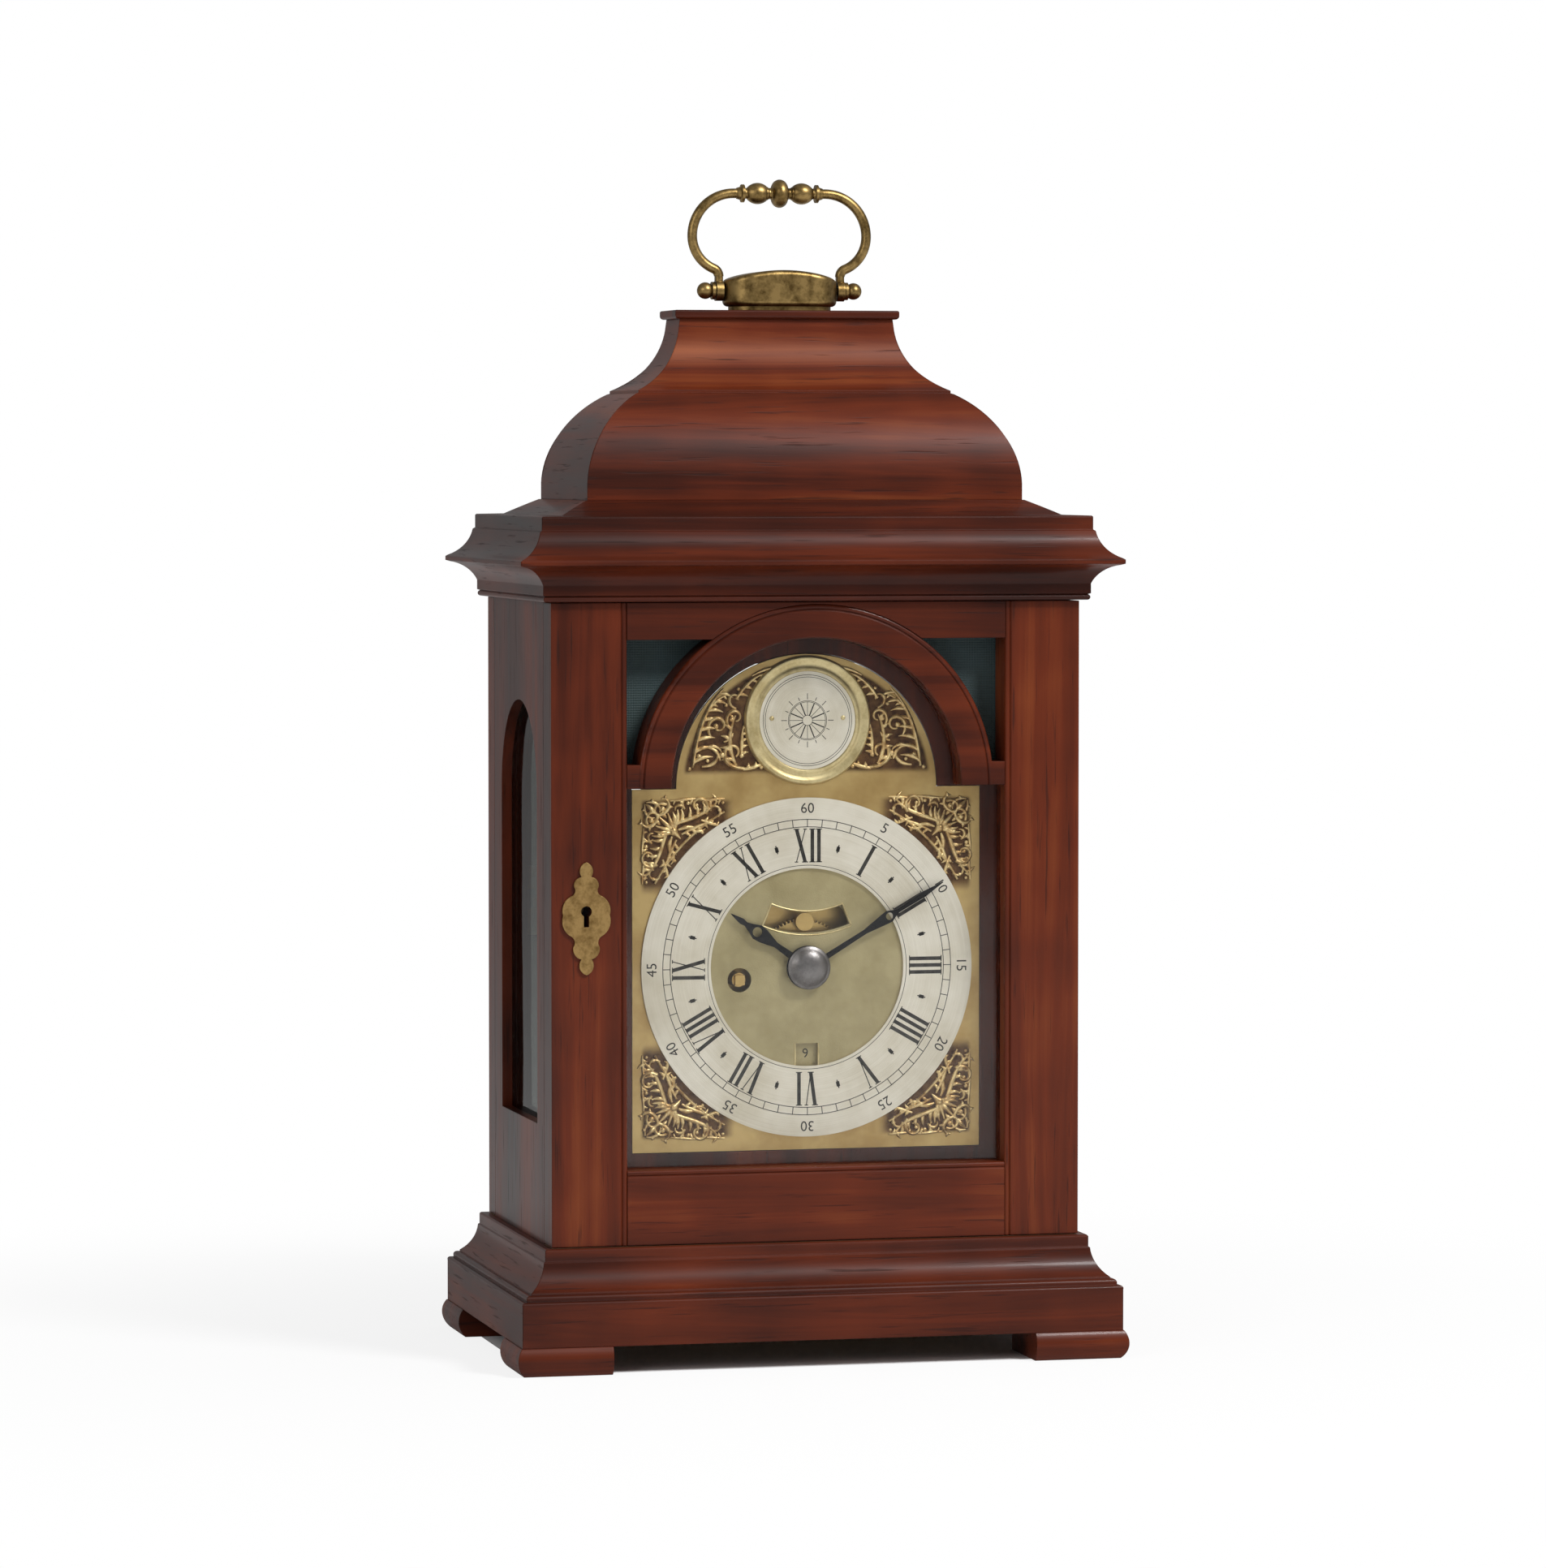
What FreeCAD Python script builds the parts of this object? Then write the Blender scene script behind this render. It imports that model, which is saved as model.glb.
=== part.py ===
import FreeCAD, Part
import math
import os

from FreeCAD import Vector

# Mahogany bell-top bracket clock. Millimetres, +Z up, the dial faces -Y.
# Origin: on the surface that the feet stand on, at the middle of the case's plan.

# ---- case: overall sizes ----
BODY_WIDTH = 230.0
BODY_DEPTH = 138.0
BODY_HEIGHT = 272.0
FOOT_HEIGHT = 12.0
FOOT_LENGTH = 41.0
FOOT_DEPTH = 40.0
PLINTH_HEIGHT = 40.0
CORNICE_HEIGHT = 42.5
BELL_HEIGHT = 77.5
CAP_THICKNESS = 3.8

# ---- case: boards ----
SIDE_BOARD = 12.0
BOTTOM_BOARD = 18.0
TOP_BOARD = 12.0
BELL_BOARD = 11.0
MASK_BOARD = 6.0
CORNICE_WIDTH = 32.0
GLUE_BLOCK = 24.0

# ---- clearances ----
DOOR_GAP = 0.4
PART_GAP = 0.3
GLASS_GAP = 0.3
RUNNING = 0.05

# ---- front door ----
DOOR_THICKNESS = 16.0
STILE_WIDTH = 32.6
BOTTOM_RAIL = 32.0
TOP_RAIL = 16.0
ARCH_INNER_RADIUS = 63.0
ARCH_BAND = 14.5
SPRING_BLOCK_HEIGHT = 10.0
DOOR_LIP = 7.5
REBATE = 4.0
GLASS = 2.0
PUTTY = 3.0
BEAD_WIDTH = 2.2
BEAD_QUIRK = 0.7
SILK = 1.0

# ---- back door ----
BACK_DOOR_THICKNESS = 14.0
BACK_STILE = 26.0
BACK_RAIL = 30.0
BACK_LIP = 6.0

# ---- side windows ----
WINDOW_SIDE = 30.5
WINDOW_BOTTOM = 50.0
WINDOW_HEAD = 43.0
WINDOW_RECESS = 4.5

# ---- hinges, locks and escutcheons ----
HINGE_PIN = 1.2
HINGE_KNUCKLE = 2.3
HINGE_LENGTH = 40.0
HINGE_LEAF = 1.2
HINGE_LEAF_WIDTH = 9.0
HINGE_INSET = 34.0
HINGE_OUTSTAND = 1.4
LOCK_WIDTH = 17.0
LOCK_HEIGHT = 30.0
LOCK_DEPTH = 6.5
LOCK_HEIGHT_ABOVE_BASE = 139.0
BOLT_HEIGHT = 10.0
BOLT_DEPTH = 2.4
BOLT_THROW = 5.0
BOLT_LENGTH = 12.0
STRIKE = 1.0
ESCUTCHEON_HEIGHT = 47.5
ESCUTCHEON_WIDTH = 20.0
ESCUTCHEON = 1.2
KEYHOLE_RADIUS = 2.3
KEYHOLE_SLOT = 2.2
KEYHOLE_LENGTH = 6.6

# ---- carrying handle ----
PLATE_LENGTH = 50.0
PLATE_DEPTH = 24.0
PLATE_FOOT = 1.8
PLATE_WALL = 11.2
PLATE_CROWN = 4.4
PIVOT_HEIGHT = 8.6
PIVOT_PIN = 1.5
POMMEL_RADIUS = 3.6
EYE_RADIUS = 4.4
EYE_WIDTH = 3.2
BAIL_WIRE = 2.1
BAIL_HALF_WIDTH = 38.6
BAIL_HEIGHT = 41.9
BAIL_FOOT_RISE = 6.2
BAIL_BEND = 3.5
BAIL_FLARE = 22.0
GRIP_KNOB = 6.1
GRIP_BULB = 4.5
GRIP_LENGTH = 38.0
HANDLE_BOLT = 2.5
HANDLE_BOLT_SPACING = 26.0
HANDLE_NUT = 4.4
HANDLE_NUT_THICKNESS = 3.0

# ---- dial ----
DIAL_CENTRE_HEIGHT = 115.4
DIAL_SETBACK = 19.0
DIAL_HALF_WIDTH = 76.2
DIAL_DROP = 78.0
DIAL_SHOULDER = 76.6
DIAL_ARCH_RADIUS = 57.0
DIAL_PLATE = 2.0
RING_OUTER_RADIUS = 72.5
RING_INNER_RADIUS = 42.3
RING_THICKNESS = 1.2
BOSS_RISE = 105.4
BOSS_RING_RADIUS = 27.7
BOSS_DISC_RADIUS = 21.0
BOSS_RING_THICKNESS = 2.0
SPANDREL = 2.0
SPANDREL_SIZE = 38.0
DIAL_FOOT_RADIUS = 3.0
DIAL_FOOT_X = 50.0
DIAL_FOOT_LOW = -56.0
DIAL_FOOT_HIGH = 60.0
DATE_APERTURE = 9.6
DATE_DROP = 37.4
SLOT_WIDTH = 9.0
SLOT_HALF_ANGLE = 22.0
WINDING_HOLE = 5.2

# ---- movement: frame ----
DIAL_TO_PLATE = 12.0
PLATE_THICKNESS = 2.5
PLATE_SPACING = 48.0
PLATE_HALF_WIDTH = 58.0
PLATE_BOTTOM = -69.4
PLATE_TOP = 74.6
PILLAR_RADIUS = 4.0
PILLAR_X = 50.0
PILLAR_LOW = -61.0
PILLAR_HIGH = 66.0
SEAT_BOARD = 10.0
SEAT_RAIL = 10.0
SEAT_BOLT = 2.0

# ---- movement: train ----
FUSEE_X = -29.5
FUSEE_Z = -5.1
BARREL_X = 33.0
BARREL_Z = -9.4
GREAT_TEETH = 96
CENTRE_LEAVES = 8
CENTRE_TEETH = 80
CONTRATE_LEAVES = 6
CONTRATE_TEETH = 66
CROWN_LEAVES = 6
CROWN_TEETH = 31
TRAIN_MODULE = 0.6
WHEEL = 1.8
GREAT_WHEEL = 2.5
ARBOR = 1.6
PIVOT = 0.8
WINDING_ARBOR = 3.0
FUSEE_LARGE = 22.0
FUSEE_SMALL = 10.0
FUSEE_LENGTH = 31.0
BARREL_RADIUS = 23.0
BARREL_WALL = 1.5
BARREL_LENGTH = 32.0
GUT_RADIUS = 0.6
GUT_PITCH = 1.9
GUT_LIFT = 0.15
BARREL_TURNS = 5
FUSEE_TURNS = 8
SPRING_TURNS = 7
SPRING_STRIP = 0.5
VERGE_HEIGHT = 64.6
VERGE_ARBOR = 1.2
PALLET_LENGTH = 5.0
PALLET_ANGLE = 47.5
CROWN_RADIUS = 14.0
CROWN_AXIS_Y = -8.0
PENDULUM_LENGTH = 155.8
PENDULUM_ROD = 1.3
PENDULUM_BOB = 15.0
PENDULUM_BOB_THICKNESS = 8.0
MOCK_BOB_RADIUS = 4.0
MOCK_BOB_DROP = 45.5

# ---- motion work, date work and hands ----
MINUTE_TEETH = 36
MINUTE_LEAVES = 6
HOUR_TEETH = 72
MOTION_WHEEL = 1.5
CANNON_RADIUS = 2.6
HOUR_PIPE_RADIUS = 3.8
MINUTE_WHEEL_ANGLE = -80.0
DATE_PINION_TEETH = 20
DATE_WHEEL_TEETH = 40
DATE_WHEEL_ANGLE = -35.0
DATE_FINGER = 9.0
DATE_RING_OFFSET = -4.0
DATE_RING_OUTER = 43.0
DATE_RING_INNER = 31.8
DATE_RING = 1.0
DATE_TEETH = 31
HOUR_HAND_LENGTH = 41.0
MINUTE_HAND_LENGTH = 69.0
HAND = 0.7
MINUTES_PAST_TEN = 9.8

# ---- derived levels and planes ----
HALF_W = BODY_WIDTH / 2
HALF_D = BODY_DEPTH / 2
WINDOW_WIDTH = BODY_DEPTH - 2 * WINDOW_SIDE
WINDOW_HEIGHT = BODY_HEIGHT - WINDOW_BOTTOM - WINDOW_HEAD
BODY_Z = FOOT_HEIGHT + PLINTH_HEIGHT
CORNICE_Z = BODY_Z + BODY_HEIGHT
BELL_Z = CORNICE_Z + CORNICE_HEIGHT
CAP_Z = BELL_Z + BELL_HEIGHT
HANDLE_Z = CAP_Z + CAP_THICKNESS
FRONT = -HALF_D
DOOR_BACK = FRONT + DOOR_THICKNESS
BACK_DOOR_FRONT = HALF_D - BACK_DOOR_THICKNESS
SIDE_INNER = HALF_W - SIDE_BOARD
DIAL_Z = BODY_Z + DIAL_CENTRE_HEIGHT
DIAL_FRONT = FRONT + DIAL_SETBACK
DIAL_BACK = DIAL_FRONT + DIAL_PLATE
PLATE_FRONT = DIAL_BACK + DIAL_TO_PLATE
INSIDE_FRONT = PLATE_FRONT + PLATE_THICKNESS
INSIDE_BACK = INSIDE_FRONT + PLATE_SPACING
PLATE_BACK = INSIDE_BACK + PLATE_THICKNESS
VERGE_Z = DIAL_Z + VERGE_HEIGHT
STILE_INNER = HALF_W - STILE_WIDTH
SILL_Z = BODY_Z + BOTTOM_RAIL
HEAD_Z = CORNICE_Z - TOP_RAIL
ARCH_Z = CORNICE_Z - TOP_RAIL + PART_GAP - ARCH_INNER_RADIUS
ARCH_OUTER_RADIUS = ARCH_INNER_RADIUS + ARCH_BAND


# ---------------------------------------------------------------- helpers
def box(x0, x1, y0, y1, z0, z1):
    return Part.makeBox(x1 - x0, y1 - y0, z1 - z0, Vector(x0, y0, z0))


def rod_x(y, z, radius, x0, x1):
    return Part.makeCylinder(radius, x1 - x0, Vector(x0, y, z), Vector(1, 0, 0))


def rod_y(x, z, radius, y0, y1):
    return Part.makeCylinder(radius, y1 - y0, Vector(x, y0, z), Vector(0, 1, 0))


def rod_z(x, y, radius, z0, z1):
    return Part.makeCylinder(radius, z1 - z0, Vector(x, y, z0), Vector(0, 0, 1))


def ring_y(x, z, outer, inner, y0, y1):
    return rod_y(x, z, outer, y0, y1).cut(rod_y(x, z, inner, y0 - 1, y1 + 1))


def face_of(steps, place):
    """Closed face: each step ends a straight run (a, b) or an arc by way of a point (am, bm, a, b)."""
    edges = []
    last = place(*steps[0][-2:])
    for step in steps[1:] + steps[:1]:
        end = place(*step[-2:])
        if last.distanceToPoint(end) < 1e-6:
            continue
        if len(step) == 4:
            edges.append(Part.Arc(last, place(*step[:2]), end).toShape())
        else:
            edges.append(Part.makeLine(last, end))
        last = end
    return Part.Face(Part.Wire(edges))


def slab_y(steps, y0, y1):
    """A plate cut to an outline in X and Z."""
    face = face_of(steps, lambda x, z: Vector(x, y0, z))
    return face.extrude(Vector(0, y1 - y0, 0))


def turned(steps, centre, axis, radial):
    """A turned solid: steps are (distance along the axis, radius)."""
    place = lambda along, radius: centre + axis * along + radial * radius
    return face_of(steps, place).revolve(centre, axis, 360)


def fused(first, *others):
    return first.fuse(list(others)).removeSplitter()


def mirrored_pair(shape):
    return [shape, shape.mirror(Vector(0, 0, 0), Vector(1, 0, 0))]


def write(name, *solids):
    shape = solids[0] if len(solids) == 1 else Part.Compound(list(solids))
    shape.exportStep("parts/" + name + ".step")
    volume = sum(solid.Volume for solid in shape.Solids)
    print(name, len(shape.Solids), "solids,", round(volume, 1), "mm3")


def mitred_boards(steps, half_width, half_depth, slope=1.0, reach=60.0):
    """Four boards round a rectangle, mitred at the corners.

    steps are (outward, height). slope is the mitre's rise across the short side
    for one unit along the long side, so ends at another angle still meet.
    """
    boards = []
    for turn in range(4):
        on_long_side = turn % 2 == 0
        along = half_width if on_long_side else half_depth
        across = half_depth if on_long_side else half_width
        lean = slope if on_long_side else 1.0
        run = 1.0 if on_long_side else slope
        start = -(along + reach)
        face = face_of(steps, lambda e, z: Vector(start, -(across + lean * e), z))
        board = face.extrude(Vector(-2 * start, 0, 0))
        inward = min(across / lean, along / run) * 0.999
        corners = [
            (-(along + run * reach), -(across + lean * reach)),
            (along + run * reach, -(across + lean * reach)),
            (along - run * inward, -(across - lean * inward)),
            (-(along - run * inward), -(across - lean * inward)),
        ]
        wedge = face_of(corners, lambda x, y: Vector(x, y, 0)).extrude(Vector(0, 0, CAP_Z + reach))
        board = board.common(wedge)
        board.rotate(Vector(0, 0, 0), Vector(0, 0, 1), 90 * turn)
        boards.append(board)
    return boards


# ---------------------------------------------------------------- case
def plinth_moulding():
    base = FOOT_HEIGHT
    top = BODY_Z
    steps = [
        (0, base), (15.8, base), (15.8, base + 17.6),
        (15.5, base + 18.9, 14.4, base + 19.2), (13.6, base + 19.2), (13.6, base + 19.9),
        (13.2, base + 21.4, 11.9, base + 21.9), (11.2, base + 21.9), (11.2, base + 22.6),
        (6.5, top - 12.3, 4.3, top - 5.4), (3.7, top - 5.0), (3.7, top - 0.6),
        (3.1, top), (0, top),
    ]
    write("plinth_moulding", *mitred_boards(steps, HALF_W, HALF_D))


def foot():
    outer_x = HALF_W
    outer_y = HALF_D
    inner_x = HALF_W + 18.0 - FOOT_LENGTH
    inner_y = HALF_D + 18.0 - FOOT_DEPTH
    bun = lambda edge, inner: [
        (inner, 0), (edge + 15.0, 0),
        (edge + 18.0, 0.55 * FOOT_HEIGHT, edge + 16.2, FOOT_HEIGHT), (inner, FOOT_HEIGHT),
    ]
    along = face_of(bun(outer_x, inner_x), lambda x, z: Vector(x, 0, z)).extrude(Vector(0, 2 * BODY_DEPTH, 0))
    across = face_of(bun(outer_y, inner_y), lambda y, z: Vector(0, y, z))
    across = across.extrude(Vector(2 * BODY_WIDTH, 0, 0))
    return along.common(across)


def feet():
    back_right = foot()
    back = mirrored_pair(back_right)
    front = [solid.mirror(Vector(0, 0, 0), Vector(0, 1, 0)) for solid in back]
    write("feet", *back, *front)


def bottom_board():
    board = box(-HALF_W, HALF_W, -HALF_D, HALF_D, BODY_Z - BOTTOM_BOARD, BODY_Z)
    blocks = []
    for sx in (-1, 1):
        for sy in (-1, 1):
            x = sorted((sx * HALF_W, sx * (HALF_W - GLUE_BLOCK)))
            y = sorted((sy * HALF_D, sy * (HALF_D - GLUE_BLOCK)))
            blocks.append(box(*x, *y, FOOT_HEIGHT, BODY_Z - BOTTOM_BOARD))
    write("bottom_board", board, *blocks)


def window_outline(margin):
    """Arched side window in Y and Z, grown by margin."""
    half = WINDOW_WIDTH / 2 + margin
    low = BODY_Z + WINDOW_BOTTOM - margin
    spring = BODY_Z + WINDOW_BOTTOM + WINDOW_HEIGHT - WINDOW_WIDTH / 2
    return [(-half, low), (half, low), (half, spring), (0, spring + half, -half, spring)]


def window_slab(margin, x0, x1):
    face = face_of(window_outline(margin), lambda y, z: Vector(x0, y, z))
    return face.extrude(Vector(x1 - x0, 0, 0))


def bolt_mortise(lock_back, towards_back):
    """Pocket in the left side board for a door's bolt, cut from the board's inner face."""
    y0, y1 = bolt_planes(lock_back, towards_back)
    z = BODY_Z + LOCK_HEIGHT_ABOVE_BASE
    half = BOLT_HEIGHT / 2 + PART_GAP
    depth = lock_reach() + BOLT_THROW + 1.0
    return box(-SIDE_INNER - depth, -SIDE_INNER + 1, y0 - PART_GAP, y1 + PART_GAP, z - half, z + half)


def side_boards():
    y0 = DOOR_BACK + PART_GAP
    y1 = BACK_DOOR_FRONT - PART_GAP
    right = box(SIDE_INNER, HALF_W, y0, y1, BODY_Z, CORNICE_Z)
    right = right.cut(window_slab(0, SIDE_INNER - 1, HALF_W + 1))
    right = right.cut(window_slab(REBATE, SIDE_INNER - 1, HALF_W - WINDOW_RECESS))
    left = right.mirror(Vector(0, 0, 0), Vector(1, 0, 0))
    right = right.cut(hinge_leaf_slots())
    left = left.cut(bolt_mortise(DOOR_BACK, 1))
    left = left.cut(bolt_mortise(BACK_DOOR_FRONT, -1))
    left = left.cut(Part.Compound(strike_shapes()))
    write("side_board_left", left)
    write("side_board_right", right)


def side_windows():
    glass_face = HALF_W - WINDOW_RECESS
    glass = window_slab(REBATE - GLASS_GAP, glass_face - GLASS, glass_face)
    bead = window_slab(REBATE - GLASS_GAP, glass_face - GLASS - PUTTY, glass_face - GLASS)
    bead = bead.cut(window_slab(0, glass_face - GLASS - PUTTY - 1, glass_face))
    write("side_glasses", *mirrored_pair(glass))
    write("side_glass_beads", *mirrored_pair(bead))


def cornice_moulding():
    low = CORNICE_Z
    top = BELL_Z
    steps = [
        (0, low), (3.0, low), (3.9, low + 1.2, 3.0, low + 2.4), (4.1, low + 2.8), (4.1, low + 7.0),
        (7.4, low + 11.7, 14.4, low + 15.0), (16.0, low + 15.5), (16.0, low + 17.3),
        (15.0, low + 17.9), (8.9, low + 22.4, 5.7, low + 29.4), (4.8, low + 30.0),
        (4.8, low + 35.4), (4.3, low + 35.9), (-6.0, low + 36.2), (-11.6, low + 39.0, -19.0, top),
        (-CORNICE_WIDTH, top), (-CORNICE_WIDTH, low + TOP_BOARD), (0, low + TOP_BOARD),
    ]
    write("cornice_moulding", *mitred_boards(steps, HALF_W, HALF_D))
    write("top_board", box(-HALF_W, HALF_W, -HALF_D, HALF_D, low, low + TOP_BOARD))


BELL_BASE_HALF_WIDTH = 95.2
BELL_BASE_HALF_DEPTH = 49.2
BELL_MITRE = 0.75
BELL_INSET = 48.1


def bell_outline(thickness):
    """Outer face of a bell board as (inset, height), moved inwards by thickness."""
    h = BELL_HEIGHT
    i = BELL_INSET
    up = lambda inset, share: (-(inset * i + thickness), BELL_Z + share * h)
    arc = lambda mid, end: up(*mid) + up(*end)
    return [
        up(0, 0), up(0, 0.09), arc((0.135, 0.355), (0.525, 0.585)), up(0.55, 0.590), up(0.55, 0.604),
        arc((0.83, 0.725), (0.992, 0.96)), up(1.0, 1.0),
    ]


def bell_top():
    outer = bell_outline(0)
    inner = bell_outline(BELL_BOARD)
    back = [inner[-1], inner[-2][-2:]]
    back.append(inner[-2][:2] + inner[-3][-2:])
    back.append(inner[-4][-2:])
    back.append(inner[-5][-2:])
    back.append(inner[-5][:2] + inner[-6][-2:])
    back.append(inner[0])
    steps = outer + back
    write("bell_top", *mitred_boards(steps, BELL_BASE_HALF_WIDTH, BELL_BASE_HALF_DEPTH, BELL_MITRE))


CAP_OVERHANG = 2.4


def cap_half_sizes():
    half_w = BELL_BASE_HALF_WIDTH - BELL_INSET + CAP_OVERHANG
    half_d = BELL_BASE_HALF_DEPTH - BELL_MITRE * BELL_INSET + CAP_OVERHANG
    return half_w, half_d


def bell_cap():
    half_w, half_d = cap_half_sizes()
    z0 = CAP_Z
    z1 = HANDLE_Z
    cap = box(-half_w, half_w, -half_d, half_d, z0, z1)
    lower = [edge for edge in cap.Edges if edge.BoundBox.ZMax < z0 + 0.01]
    upper = [edge for edge in cap.Edges if edge.BoundBox.ZMin > z1 - 0.01]
    cap = cap.makeFillet(min(1.5, 0.4 * CAP_THICKNESS), lower)
    upper = [edge for edge in cap.Edges if edge.BoundBox.ZMin > z1 - 0.01]
    cap = cap.makeFillet(min(0.8, 0.3 * CAP_THICKNESS), upper)
    for x in (-HANDLE_BOLT_SPACING / 2, HANDLE_BOLT_SPACING / 2):
        cap = cap.cut(rod_z(x, 0, HANDLE_BOLT + RUNNING, z0 - 1, z1 + 1))
    write("bell_cap", cap)


# ---------------------------------------------------------------- hinges and locks
def hinge_heights(length):
    low = BODY_Z + HINGE_INSET
    high = CORNICE_Z - HINGE_INSET - length
    return (low, high)


def pin_x():
    return HALF_W + HINGE_OUTSTAND


def front_pin_y():
    return DOOR_BACK + PART_GAP / 2


def back_pin_y():
    return BACK_DOOR_FRONT - PART_GAP / 2


def leaf(y, thickness_way, x_inner, z0, z1):
    y0, y1 = sorted((y, y + thickness_way * HINGE_LEAF))
    return box(x_inner, pin_x(), y0, y1, z0, z1)


def hinge_leaf_slots():
    """Housings in the right side board's edges for the case leaves."""
    slots = []
    for z in hinge_heights(HINGE_LENGTH):
        front = DOOR_BACK + PART_GAP
        back = BACK_DOOR_FRONT - PART_GAP
        inner = HALF_W - HINGE_LEAF_WIDTH
        slots.append(box(inner, HALF_W + 1, front - 1, front + HINGE_LEAF, z, z + HINGE_LENGTH))
        slots.append(box(inner, HALF_W + 1, back - HINGE_LEAF, back + 1, z, z + HINGE_LENGTH))
        slots.append(rod_z(pin_x(), front_pin_y(), HINGE_KNUCKLE + PART_GAP, z, z + HINGE_LENGTH))
        slots.append(rod_z(pin_x(), back_pin_y(), HINGE_KNUCKLE + PART_GAP, z, z + HINGE_LENGTH))
    return Part.Compound(slots)


def hinge_pair(y_pin, y_case, y_door, way):
    """Butt hinges as door leaves and case leaves. way is the side of the pin that the door lies on, in Y."""
    door_leaves = []
    case_leaves = []
    third = HINGE_LENGTH / 3
    inner = HALF_W - HINGE_LEAF_WIDTH
    for z in hinge_heights(HINGE_LENGTH):
        middle = (z + third + PART_GAP / 2, z + 2 * third - PART_GAP / 2)
        ends = ((z, z + third - PART_GAP / 2), (z + 2 * third + PART_GAP / 2, z + HINGE_LENGTH))
        bore = rod_z(pin_x(), y_pin, HINGE_PIN + RUNNING, z - 1, z + HINGE_LENGTH + 1)
        swing = HINGE_KNUCKLE + PART_GAP
        door_leaf = leaf(y_door, way, inner, z, z + HINGE_LENGTH)
        for z0, z1 in ends:
            door_leaf = door_leaf.cut(rod_z(pin_x(), y_pin, swing, z0 - PART_GAP, z1 + PART_GAP))
        door_leaf = fused(door_leaf, rod_z(pin_x(), y_pin, HINGE_KNUCKLE, *middle))
        door_leaves.append(door_leaf.cut(bore))
        case_leaf = leaf(y_case, -way, inner, z, z + HINGE_LENGTH)
        case_leaf = case_leaf.cut(rod_z(pin_x(), y_pin, swing, middle[0] - PART_GAP, middle[1] + PART_GAP))
        knuckles = [rod_z(pin_x(), y_pin, HINGE_KNUCKLE, z0, z1) for z0, z1 in ends]
        case_leaf = fused(case_leaf, *knuckles, rod_z(pin_x(), y_pin, HINGE_PIN, z, z + HINGE_LENGTH))
        case_leaves.append(case_leaf)
    return door_leaves, case_leaves


def door_hinge_slots(y_pin, y_door, way):
    """Housings in a door's hinge stile for its leaves and knuckles."""
    slots = []
    for z in hinge_heights(HINGE_LENGTH):
        y0, y1 = sorted((y_door - way, y_door + way * HINGE_LEAF))
        slots.append(box(HALF_W - HINGE_LEAF_WIDTH, HALF_W + 1, y0, y1, z, z + HINGE_LENGTH))
        ends = (z - PART_GAP, z + HINGE_LENGTH + PART_GAP)
        slots.append(rod_z(pin_x(), y_pin, HINGE_KNUCKLE + PART_GAP, *ends))
    return Part.Compound(slots)


def hinges_and_locks():
    front_leaves, front_case = hinge_pair(front_pin_y(), DOOR_BACK + PART_GAP, DOOR_BACK, -1)
    back_leaves, back_case = hinge_pair(back_pin_y(), BACK_DOOR_FRONT - PART_GAP, BACK_DOOR_FRONT, 1)
    front_lock, front_bolt = lock_and_bolt(DOOR_BACK, 1)
    back_lock, back_bolt = lock_and_bolt(BACK_DOOR_FRONT, -1)
    front_strike, back_strike = strike_shapes()
    front_strike = front_strike.cut(bolt_mortise(DOOR_BACK, 1))
    back_strike = back_strike.cut(bolt_mortise(BACK_DOOR_FRONT, -1))
    write("front_door_hinges_and_lock", front_lock, *front_leaves)
    write("back_door_hinges_and_lock", back_lock, *back_leaves)
    write("case_hinges_and_strikes", front_strike, back_strike, *front_case, *back_case)
    write("front_lock_bolt", front_bolt)
    write("back_lock_bolt", back_bolt)


LOCK_SIDE_GAP = 1.5


def lock_reach():
    """From the side board's inner face, how far back the lock case stands."""
    return -LOCK_SIDE_GAP


def lock_left():
    return -SIDE_INNER + LOCK_SIDE_GAP


def bolt_planes(lock_back, way):
    """Y limits of a bolt: the lock stands on a door's inner face and way points into the case."""
    near = lock_back + way * (LOCK_DEPTH - BOLT_DEPTH - 1.2)
    return sorted((near, near + way * BOLT_DEPTH))


def lock_and_bolt(door_face, way):
    """A rim lock on a door's inner face, with its bolt drawn back flush."""
    z = BODY_Z + LOCK_HEIGHT_ABOVE_BASE
    y0, y1 = sorted((door_face, door_face + way * LOCK_DEPTH))
    x0 = lock_left()
    case = box(x0, x0 + LOCK_WIDTH, y0, y1, z - LOCK_HEIGHT / 2, z + LOCK_HEIGHT / 2)
    b0, b1 = bolt_planes(door_face, way)
    slide = RUNNING
    half = BOLT_HEIGHT / 2
    channel = box(x0 - 1, x0 + BOLT_LENGTH + 0.5, b0 - slide, b1 + slide, z - half - slide, z + half + slide)
    case = case.cut(channel)
    case = case.cut(key_slot(keyhole_x(), y0 - 1, y1 + 1))
    bolt = box(x0, x0 + BOLT_LENGTH, b0, b1, z - half, z + half)
    bolt = bolt.cut(box(x0 + 4.5, x0 + 10.5, b0 - 1, b1 + 1, z - 3.4, z - half + 7.2))
    return case, bolt


def keyhole_x():
    return -(HALF_W - 14.8)


def keyhole_z():
    return BODY_Z + LOCK_HEIGHT_ABOVE_BASE + 3.0


def key_slot(x, y0, y1):
    """Keyhole: a round for the shank over a slot for the bit."""
    z = keyhole_z()
    hole = rod_y(x, z, KEYHOLE_RADIUS, y0, y1)
    half = KEYHOLE_SLOT / 2
    return hole.fuse(box(x - half, x + half, y0, y1, z - KEYHOLE_LENGTH, z))


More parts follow.
